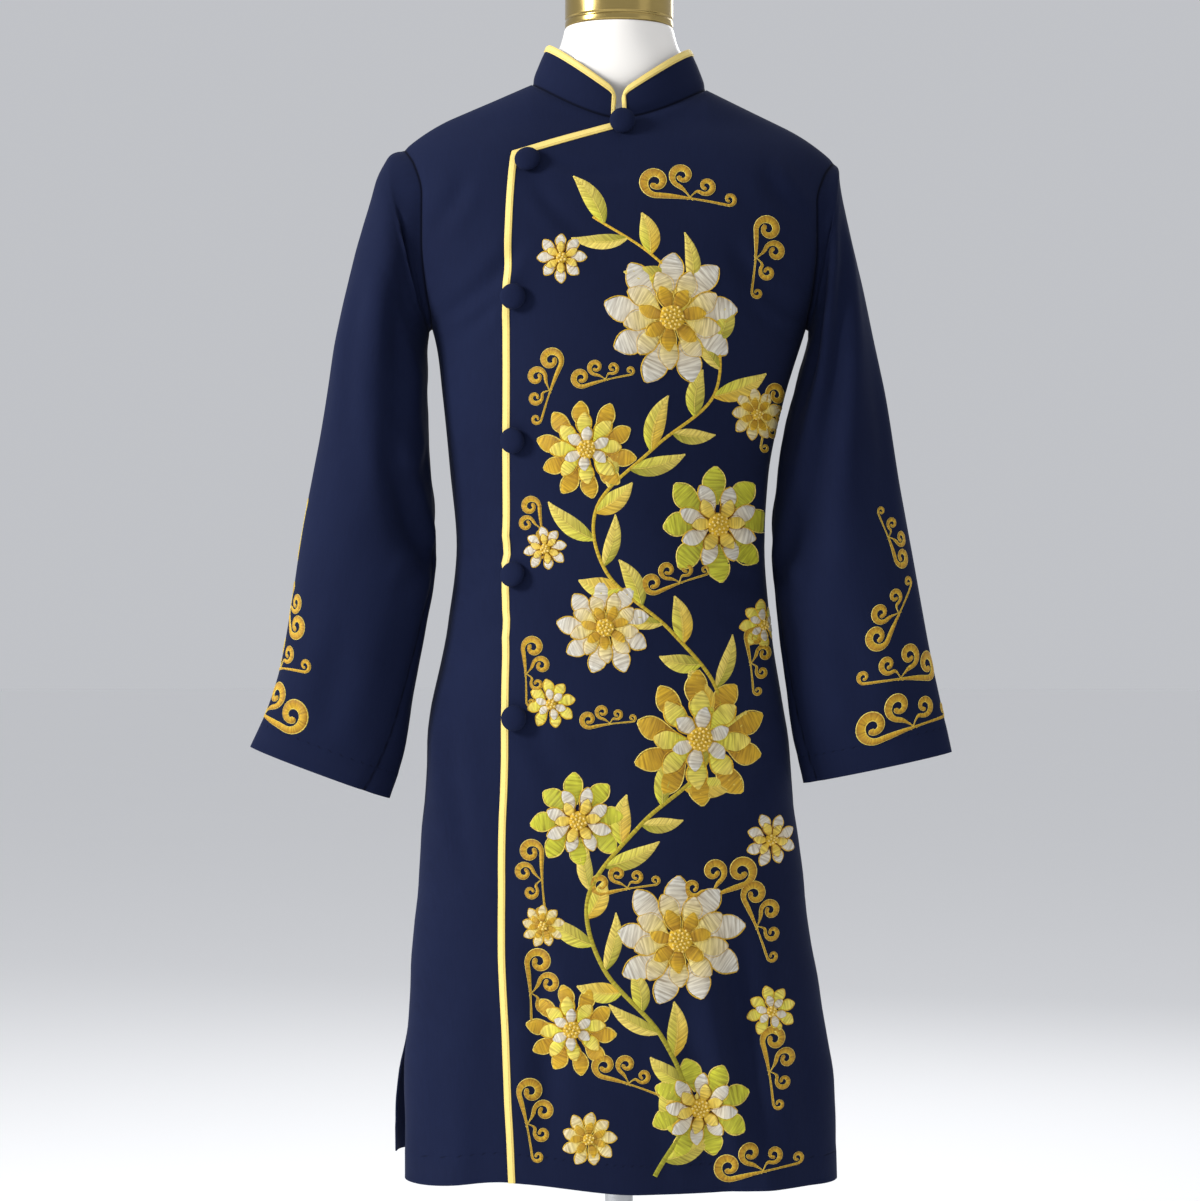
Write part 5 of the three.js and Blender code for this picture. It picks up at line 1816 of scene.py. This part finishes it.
def covered_button(foot, under):
    """A dome with cloth drawn tight over it and gathered under its rim."""
    radius, edge = BUTTON_RADIUS, BUTTON_EDGE
    profile = [(0.4, foot), (BUTTON_SHANK, foot), (BUTTON_SHANK, under - 0.5),
               (BUTTON_SHANK + 2, under), (radius - edge, under)]
    profile += [(radius - 0.4, under + 0.45), (radius, under + BUTTON_RIM / 2)]
    for k in range(BUTTON_STEPS):
        angle = math.pi / 2 * k / BUTTON_STEPS
        profile.append((radius * math.cos(angle) ** 0.9,
                        under + BUTTON_RIM + BUTTON_DOME * math.sin(angle)))
    profile.append((0.3, under + BUTTON_RIM + BUTTON_DOME))
    points, faces = lathe(rounded(profile, 0.8, 2), BUTTON_SIDES)
    reach = np.hypot(points[:, 0], points[:, 1])
    angle = np.arctan2(points[:, 1], points[:, 0])
    rim = bell(points[:, 2] - (under + GATHER_AT), 1.5) * (reach > radius * 0.6)
    pucker = 1 + GATHER_DEPTH * rim * np.sin(GATHERS * angle + 2 * np.sin(3 * angle))
    points[:, :2] *= pucker[:, None]
    return points, faces


# Embroidery.

def heading(degrees):
    """A unit vector in the plane of the drawing."""
    return np.array([math.cos(math.radians(degrees)), math.sin(math.radians(degrees))])


class Embroidery:
    """Satin stitch on a canvas: each stroke is a domed strip whose threads run across it."""

    # The edges of a patch sink into the cloth to this height.
    SUNK = -0.2
    # Each ring of petals lies this much over the one outside it, the first at a height.
    FIRST_LIFT, LAYER = 0.1, 0.45
    # A flower under this radius has no outer ring, and its other petals are larger.
    SMALL, SMALL_GROWTH = 35, 1.35
    PETAL_RIM = 0.94
    SEED_DOME = 1.5
    GOLDEN_ANGLE = 137.5
    LEAF_POINTS = 14
    LEAF_BEND = 34
    # Leaves leave the stem from here on, this far apart.
    LEAF_FROM, LEAF_STEP = 18, 27

    def __init__(self, canvas):
        self.canvas = canvas
        self.places, self.heights, self.faces, self.uv, self.dyes = [], [], [], [], []
        self.knots = []
        self.count = 0
        self.height = sizes().satin / MM
        self.paint = {key: np.array(getattr(colours(), key)) for key in THREADS}

    def patch(self, places, height, uv, dye):
        """A grid of places on the canvas, with heights, thread coordinates and dyes."""
        index = self.count + np.arange(places[..., 0].size).reshape(places.shape[:2])
        self.count += index.size
        self.places.append(places.reshape(-1, 2))
        self.heights.append(height.ravel())
        self.faces.append(quads(index))
        self.uv.append(uv.reshape(-1, 2) * MM)
        self.dyes.append(dye.reshape(-1, 3))

    def stroke(self, line, width, start, end=None, lift=0.0, across=7, groove=0.0, slant=0.0,
               second=None, sideways=False):
        """A strip along a line of places. Its dye runs along it, across it or by halves."""
        line, width = np.asarray(line, float), np.asarray(width, float)
        v = np.linspace(-1, 1, across)
        offset = width[:, None] * v
        places = line[:, None] + left_of(line)[:, None] * offset[..., None]
        dome = np.sqrt(np.clip(1 - v * v, 0, 1)) * (1 - groove * bell(v, 0.3))
        rise = self.height * np.minimum(1, width / 2.2)[:, None]
        height = np.where(np.abs(v) > 0.999, self.SUNK, lift + rise * dome)
        along = travelled(line)[:, None] - slant * np.abs(offset)
        t = np.linspace(0, 1, len(line))[:, None, None]
        halves = v[None, :, None] + 0 * t
        low, high = self.paint[start], self.paint[end or start]
        dye = mix(low, high, (halves + 1) / 2 if sideways else t + 0 * halves)
        if second:
            dye = np.where(halves > 0, mix(self.paint[second], high, t), dye)
        self.patch(places, height, np.stack([along + self.count * 0.13, offset], -1), dye)

    def disc(self, centre, radius, dye, lift, proud):
        """A padded round whose threads run out from its middle."""
        reach = np.linspace(1, 0.02, 6)[:, None]
        angle = np.radians(np.linspace(0, 360, 19))[None, :]
        way = np.stack([np.cos(angle), np.sin(angle)], axis=-1)
        height = lift + proud * np.sqrt(1 - reach**2)
        height = np.where(reach > 0.999, self.SUNK, height)
        uv = np.stack([angle * radius + 0 * reach, radius * reach + 0 * angle], axis=-1)
        places = centre + radius * reach[..., None] * way
        self.patch(places, height + 0 * angle, uv, self.paint[dye] + 0 * uv[..., :1])

    def petal(self, centre, angle, start, size, half, low, high, lift, outline="gold"):
        t = np.linspace(0, 1, 12)
        way, side = heading(angle), heading(angle + 90)
        width = half * np.clip(np.sin(math.pi * np.clip(t, 0.02, 0.985) ** 1.35), 0, 1) ** 0.72
        bend = 0.06 * size * np.sin(math.pi * t) * (1 if angle % 40 < 20 else -1)
        line = centre + way * (start + size * t)[:, None] + side * bend[:, None]
        self.stroke(line, width, low, high, lift, 7, groove=0.35)
        rim = side * width[:, None] * self.PETAL_RIM
        border = np.concatenate([line + rim, (line - rim)[::-1]])
        self.stroke(border, np.full(len(border), 0.75), outline, lift=lift + 0.25, across=3)

    def flower(self, x, z, radius, turn, scheme):
        centre = np.array([x, z])
        rings, grow = FLOWER_SCHEMES[int(scheme)], 1.0
        if radius < self.SMALL:
            rings, grow = rings[1:], self.SMALL_GROWTH
        for k, (count, start, size, half, low, high, outline) in enumerate(rings):
            for j in range(count):
                angle = turn + 360 * (j + 0.5 * (k % 2)) / count
                uneven = 1 + 0.06 * math.sin(2.3 * j + k + x)
                self.petal(centre, angle, start * radius * grow, size * radius * grow * uneven,
                           half * radius * grow, low, high, self.FIRST_LIFT + self.LAYER * k,
                           outline)
        middle = 0.19 * radius + 1
        top = self.FIRST_LIFT + self.LAYER * len(rings)
        self.disc(centre, middle, "gold", top, self.SEED_DOME)
        seeds = int(0.12 * middle**2) + 5
        for j in range(seeds):
            share = math.sqrt((j + 0.5) / seeds) * 0.84
            place = centre + heading(self.GOLDEN_ANGLE * j) * share * middle
            self.knots.append((*place, top + self.SEED_DOME * math.sqrt(1 - share**2)))

    def leaf(self, base, angle, size, half, bend, low, second):
        t = np.linspace(0, 1, self.LEAF_POINTS)
        turn = np.radians(angle + bend * t)
        steps = np.stack([np.cos(turn), np.sin(turn)], axis=-1) * size / (self.LEAF_POINTS - 1)
        line = base + np.cumsum(steps, axis=0) - steps[0]
        width = half * np.clip(np.sin(math.pi * np.clip(t, 0.02, 0.98) ** 0.8), 0, 1) ** 0.85
        self.stroke(line, width, low, "pale_gold", 0.0, 9, groove=0.6, slant=0.9, second=second)
        self.stroke(line[:-1], 0.55 + 0.35 * (1 - t[:-1]), "pale_gold", lift=0.3, across=3)

    def spiral(self, centre, size, angle, hand, turns):
        """A line that winds into a round head from a start at an angle, and its half widths."""
        t = np.linspace(0, 1, int(22 * turns) + 8)
        sweep = angle + hand * 360 * turns * t
        reach = size * (1 - 0.74 * t**0.95)
        line = centre + np.array([heading(a) for a in sweep]) * reach[:, None]
        wide = SCROLL_WIDE * size * (0.62 + 0.38 * ease(0, 0.25, t)) * (1 - 0.5 * ease(0.3, 1, t))
        wide = wide * (1 + 0.3 * bell(t - 0.93, 0.07))
        return line, wide * np.sqrt(np.clip(20 - 20 * t, 0.02, 1))

    def scroll(self, head, foot):
        """A band with a round head, drawn out thin to its foot: a second head, or a point."""
        line, wide = self.spiral(*head)
        leaving = unit(line[0] - line[1])
        if foot[1]:
            other, last = self.spiral(*foot)
            arriving = unit(other[1] - other[0])
        else:
            other, last = foot[0][None], np.array([0.3])
            arriving = unit(other[0] - line[0])
        gap = 1.1 * np.linalg.norm(other[0] - line[0])
        s = np.linspace(0, 1, 14)[1:-1]
        t = s[:, None]
        middle = (
            (1 + 2 * t) * (1 - t) ** 2 * line[0] + t * (1 - t) ** 2 * leaving * gap
            + t * t * (3 - 2 * t) * other[0] - t * t * (1 - t) * arriving * gap
        )
        thin = 0.3 * wide[0]
        between = thin + (wide[0] - thin) * (1 - ease(0, 0.6, s))
        between = between + (last[0] - thin) * ease(0.5, 1, s)
        line = np.concatenate([line[::-1], middle, other])
        width = np.concatenate([wide[::-1], between, last])
        outside, inside = ("gold", "old_gold") if head[3] > 0 else ("old_gold", "gold")
        self.stroke(line, width, outside, inside, 0.0, 6, sideways=True)
        side = left_of(line) * (width * 0.86)[:, None]
        for rim in (line + side, line - side):
            self.stroke(rim, np.clip(width * 0.17, 0.3, 0.8), "pale_gold", lift=0.35, across=3)

    def cloud(self, x, z, size, turn, hand):
        cos, sin = heading(turn)

        def end(dx, dz, part, angle, way, turns):
            dx *= hand
            centre = np.array([x + size * (dx * cos - dz * sin), z + size * (dx * sin + dz * cos)])
            angle = (angle if hand > 0 else 180 - angle) + turn
            return centre, size * part, angle, way * hand, turns

        for row in rows_of(SCROLLS):
            self.scroll(end(*row[:6]), end(*row[6:]))

    def stem(self, rows):
        line = smooth_rows(np.stack([rows["x"], rows["z"]], axis=-1), 10)
        t = np.linspace(0, 1, len(line))
        self.stroke(line, 2.6 - 1.2 * t, "olive", "gold", 0.0, 6)
        far = travelled(line)
        tangent = unit(steps_along(line, 0))
        for k, at in enumerate(np.arange(self.LEAF_FROM, far[-1] - 10, self.LEAF_STEP)):
            place = np.array([np.interp(at, far, line[:, a]) for a in (0, 1)])
            way = np.array([np.interp(at, far, tangent[:, a]) for a in (0, 1)])
            hand = 1 if k % 2 else -1
            angle = math.degrees(math.atan2(way[1], way[0])) + hand * (52 + 8 * math.sin(k))
            size = 50 + 9 * math.sin(1.7 * k)
            low, second = (("olive", "lemon"), ("gold", "lemon"), ("olive", "pale_gold"))[k % 3]
            half = 9.5 + 1.5 * math.sin(2.1 * k)
            self.leaf(place, angle, size, half, -hand * self.LEAF_BEND, low, second)

    def finish(self, name):
        """The embroidery's own mesh object, with its knots as a second one."""
        points, outs = self.canvas.lay(np.concatenate(self.places))
        points = points + outs * np.concatenate(self.heights)[:, None]
        faces = np.concatenate(self.faces)
        a, b, c = (points[faces[:, k]] for k in range(3))
        over = np.einsum("ij,ij->i", np.cross(b - a, c - a), outs[faces[:, 0]]) < 0
        faces = np.where(over[:, None], faces[:, ::-1], faces)
        made = mesh_object(name, points, faces, material("thread_satin"), np.concatenate(self.uv),
                           colour_map=np.concatenate(self.dyes))
        place_piece(made, "trim")
        if self.knots:
            knots = np.array(self.knots)
            points, outs = self.canvas.lay(knots[:, :2])
            shape = bead("knot_shape", 1.3, 1.3, 8, 5)
            knots = repeated(f"{name}_knots", points + outs * knots[:, 2:], outs, shape, 1.0,
                             material("trim_yellow"), along_path=False, seed=7)
            place_piece(knots, "trim")
            bpy.data.objects.remove(shape)


# The colours that are threads.
THREADS = ("old_gold", "gold", "pale_gold", "lemon", "olive", "ivory", "white")

# Rings of petals, from the outer one: count, start, length, half width, dyes and outline.
FLOWER_SCHEMES = (
    (
        (9, 0.36, 0.62, 0.20, "ivory", "white", "gold"),
        (9, 0.20, 0.52, 0.165, "pale_gold", "ivory", "gold"),
        (7, 0.08, 0.40, 0.13, "old_gold", "gold", "pale_gold"),
    ),
    (
        (10, 0.38, 0.60, 0.18, "old_gold", "gold", "pale_gold"),
        (8, 0.20, 0.52, 0.17, "lemon", "pale_gold", "gold"),
        (6, 0.08, 0.38, 0.135, "ivory", "white", "gold"),
    ),
    (
        (8, 0.34, 0.64, 0.215, "olive", "lemon", "pale_gold"),
        (8, 0.20, 0.50, 0.16, "ivory", "white", "gold"),
        (6, 0.08, 0.40, 0.135, "gold", "pale_gold", "old_gold"),
    ),
)


class GARMENT_OT_embroidery(GarmentOperator):
    """Makes the flowers, leaves and clouds on the left front and by the cuffs."""

    bl_idname = "garment.embroidery"
    bl_label = "Embroidery"

    def build(self):
        front = Embroidery(Canvas(garment()["front_left"]))
        for row in rows_of(CLOUDS):
            front.cloud(*row)
        front.stem(STEM)
        for row in rows_of(FLOWERS):
            front.flower(*row)
        front.finish("embroidery_front")
        for name, middle in CUFF_MIDDLE.items():
            cuff = Embroidery(Wrap(garment()[name], middle))
            for row in rows_of(CUFF_CLOUDS):
                cuff.cloud(*row)
            cuff.finish(f"embroidery_{name}")


# The dress form and its stand.

def shoulder_reach(z, sign):
    """How far out the shoulder line is above a height, found by halving."""
    low, high = NECK_SIDE_X, ARM_PLATE_X
    for _ in range(24):
        middle = (low + high) / 2
        if shoulder_line(sign * middle) > z:
            low = middle
        else:
            high = middle
    return low


def form_section(z, angle):
    """One ring of the torso, inside the cloth by its ease, with rounded ends at the arms."""
    gap = column(FORM_EASE, "z", "ease", z) + sizes().cloth / MM
    level = z + FORM_DROP
    reach = [
        min(sign * middle_x(z) + half_width(z) - gap, shoulder_reach(level, sign))
        for sign in (1, -1)
    ]
    half, middle = sum(reach) / 2, (reach[0] - reach[1]) / 2
    x = middle + half * np.cos(angle)
    behind = np.sin(angle) < 0
    deep = np.where(behind, plain_depth(x, level, 1), plain_depth(x, level, -1))
    from_end = half * (1 - np.abs(np.cos(angle)))
    in_end = np.clip(1 - from_end / FORM_END_ROUND, 0, 1)
    y = np.where(behind, 1, -1) * np.maximum(0, deep - gap) * np.sqrt(1 - in_end**2)
    return np.stack([x, y, np.full_like(x, z)], axis=-1)


def neck_section(z, angle):
    x = column(NECK_RINGS, "z", "half", z) * np.cos(angle)
    y = -column(NECK_RINGS, "z", "depth", z) * np.sin(angle)
    return np.stack([x, y, np.full_like(x, z)], axis=-1)


def form_body():
    """Points and faces of the torso and neck, closed by a low dish underneath."""
    angle = ring_angles(FORM_SIDES)
    levels = np.concatenate([
        FORM_BOTTOM_Z + np.array([0.6, 2.5, 6]),
        np.linspace(FORM_BOTTOM_Z + FORM_FOOT, BODY_RINGS_TO_Z, BODY_RING_COUNT),
        np.linspace(NECK_RINGS_FROM_Z, FORM_NECK_TOP_Z - 2, NECK_RING_COUNT),
    ])
    rings = []
    for z in levels:
        low = np.clip((z - FORM_BOTTOM_Z) / FORM_FOOT, 0, 1)
        shrink = FOOT_SHARE + (1 - FOOT_SHARE) * math.sqrt(1 - (1 - low) ** 2)
        body = form_section(z, angle) * (shrink, shrink, 1)
        rings.append(mix(body, neck_section(z, angle), ease(*NECK_BLEND, z)))
    top = neck_section(FORM_NECK_TOP_Z, angle)
    rings += [top * (0.99, 0.99, 1), top * (0.5, 0.5, 1)]
    foot = [rings[0] * (share, share, 1) + (0, 0, rise) for share, rise in
            ((0.5, -0.6), (0.9, -0.6), (0.985, -0.5))]
    rings = np.array(foot + rings)
    return capped(rings, rings[0].mean(axis=0), rings[-1].mean(axis=0))


def turned(name, node, slot, profile, base_z, surface, radius=1.2, sides=96):
    points, faces = lathe(rounded(profile, radius), sides, base_z)
    place_piece(mesh_object(name, points, faces, surface), slot, node)


class GARMENT_OT_form(GarmentOperator):
    """Makes the limbless dress form and its cap."""

    bl_idname = "garment.form"
    bl_label = "Dress form"

    def build(self):
        points, faces = form_body()
        made = mesh_object("dress_form", points, faces, material("form_shell"))
        place_piece(made, "form_shell", "form_torso")
        radius, top = CAP_RADIUS, CAP_HEIGHT
        profile = [
            (0.5, 0), (radius - 1.2, 0), (radius, 1.2), (radius, 6), (radius - 1.1, 7),
            (radius - 1.1, 8.4), (radius, 9.4), (radius, top - 5), (radius - 1.5, top - 1.5),
            (radius - 5, top - 0.2), (radius - 14, top), (0.5, top),
        ]
        turned("neck_cap_turned", "neck_cap", "cap", profile, FORM_NECK_TOP_Z + SEAT,
               material("brass_turned"), 0.8)


class GARMENT_OT_stand(GarmentOperator):
    """Makes the flange, the pole and the round base."""

    bl_idname = "garment.stand"
    bl_label = "Stand"

    def build(self):
        steel = material("steel_brushed")
        flange_z = FORM_BOTTOM_Z - SEAT - FLANGE_THICKNESS
        hub_top = BASE_THICKNESS + HUB_HEIGHT
        height = flange_z - hub_top - 2 * SEAT
        disc = [(0.5, 0), (FLANGE_RADIUS, 0), (FLANGE_RADIUS, FLANGE_THICKNESS),
                (0.5, FLANGE_THICKNESS)]
        turned("flange_turned", "pole_flange", "stand", disc, flange_z, steel)
        tube = [(0.5, 0), (POLE_RADIUS, 0), (POLE_RADIUS, 6)]
        tube += [(POLE_RADIUS, height * share) for share in (0.25, 0.5, 0.75)]
        tube += [(POLE_RADIUS, height - 6), (POLE_RADIUS, height), (0.5, height)]
        turned("pole_turned", "pole", "stand", tube, hub_top + SEAT, steel)
        radius, thick = BASE_RADIUS, BASE_THICKNESS
        base = [
            (0.5, 0), (radius - 1, 0), (radius, 1), (radius, thick - 4), (radius - 4, thick),
            (radius - 30, thick + 0.01), (HUB_RADIUS + 6, thick), (HUB_RADIUS, thick + 2),
            (HUB_TOP_RADIUS + 1.5, hub_top - 8), (HUB_TOP_RADIUS, hub_top - 6),
            (HUB_TOP_RADIUS, hub_top), (0.5, hub_top),
        ]
        turned("base_turned", "stand_base", "stand", base, 0, steel, 2.0, 128)


class GARMENT_OT_stage(GarmentOperator):
    """Makes the floor, the soft lights and the camera at the photograph's angle."""

    bl_idname = "garment.stage"
    bl_label = "Studio"

    # Name, place, width and height, and power of each light. All face one point.
    LIGHTS = (
        ("key", (-3.3, -1.4, 2.5), (0.9, 1.1), 158.0),
        ("fill", (2.7, -1.9, 1.3), (1.4, 2.0), 2.5),
        ("top", (0.2, 0.3, 3.3), (2.0, 1.6), 13.0),
        ("behind", (0.8, 2.9, 2.6), (2.0, 1.8), 30.0),
    )
    LIT_POINT = Vector((0, 0, 1.0))
    DAYLIGHT = (0.93, 0.95, 1.0, 1.0)
    DAYLIGHT_STRENGTH = 0.57
    FLOOR_SIDES = 64
    FLOOR_RINGS = (0.6, 2.5, 8.0)

    def build(self):
        size = studio()
        scene = bpy.context.scene
        sides = self.FLOOR_SIDES
        rings = [*self.FLOOR_RINGS, size.floor]
        points = np.array([
            (r / MM * math.cos(a), r / MM * math.sin(a), 0)
            for r in rings for a in ring_angles(sides)
        ] + [(0, 0, 0)])
        index = np.arange(len(rings) * sides).reshape(len(rings), sides)
        faces = [list(face)[::-1] for face in quads(index, closed=True)]
        faces += [[len(points) - 1, j, (j + 1) % sides] for j in range(sides)]
        mesh_object("studio_floor", points, faces, material("studio_floor"))
        for name, place, spread, power in self.LIGHTS:
            lamp = bpy.data.lights.new(name, "AREA")
            lamp.shape = "RECTANGLE"
            lamp.size, lamp.size_y = spread
            lamp.energy = power
            made = linked(name, lamp)
            made.location = place
            aim = self.LIT_POINT - Vector(place)
            made.rotation_euler = aim.to_track_quat("-Z", "Y").to_euler()
        world = scene.world or bpy.data.worlds.new("studio")
        scene.world = world
        world.use_nodes = True
        shade = world.node_tree.nodes["Background"]
        shade.inputs["Color"].default_value = self.DAYLIGHT
        shade.inputs["Strength"].default_value = self.DAYLIGHT_STRENGTH
        lens = bpy.data.cameras.new("camera")
        lens.lens = size.lens
        lens.sensor_width = 36.0
        camera = linked("camera", lens)
        camera.location = (-size.sideways, -size.distance, size.height)
        camera.rotation_euler = (math.pi / 2, 0, 0)
        scene.camera = camera
        scene.view_settings.view_transform = "Standard"
        scene.view_settings.look = "None"


OPERATORS = (
    GARMENT_OT_fronts,
    GARMENT_OT_back,
    GARMENT_OT_sleeves,
    GARMENT_OT_collar,
    GARMENT_OT_trims,
    GARMENT_OT_buttons,
    GARMENT_OT_embroidery,
    GARMENT_OT_form,
    GARMENT_OT_stand,
    GARMENT_OT_stage,
)


class GARMENT_PT_panel(bpy.types.Panel):
    """Lists the garment's operators and sizes."""

    bl_idname = "GARMENT_PT_panel"
    bl_label = "Ao dai"
    bl_space_type = "VIEW_3D"
    bl_region_type = "UI"
    bl_category = "Ao dai"

    def draw(self, context):
        for operator in OPERATORS:
            self.layout.operator(operator.bl_idname)
        for group in (context.scene.garment_sizes, context.scene.garment_studio):
            box = self.layout.box()
            for name in group.__annotations__:
                box.prop(group, name)


CLASSES = (GarmentSizes, GarmentColours, StudioSizes, *OPERATORS, GARMENT_PT_panel)


def register():
    for made in CLASSES:
        bpy.utils.register_class(made)
    scene = bpy.types.Scene
    scene.garment_sizes = bpy.props.PointerProperty(type=GarmentSizes)
    scene.garment_colours = bpy.props.PointerProperty(type=GarmentColours)
    scene.garment_studio = bpy.props.PointerProperty(type=StudioSizes)


def unregister():
    del bpy.types.Scene.garment_studio
    del bpy.types.Scene.garment_colours
    del bpy.types.Scene.garment_sizes
    for made in reversed(CLASSES):
        bpy.utils.unregister_class(made)


def main():
    register()
    for operator in OPERATORS:
        group, name = operator.bl_idname.split(".")
        if getattr(getattr(bpy.ops, group), name)() != {"FINISHED"}:
            raise RuntimeError(f"{operator.bl_label} was not made")


if __name__ == "__main__":
    main()
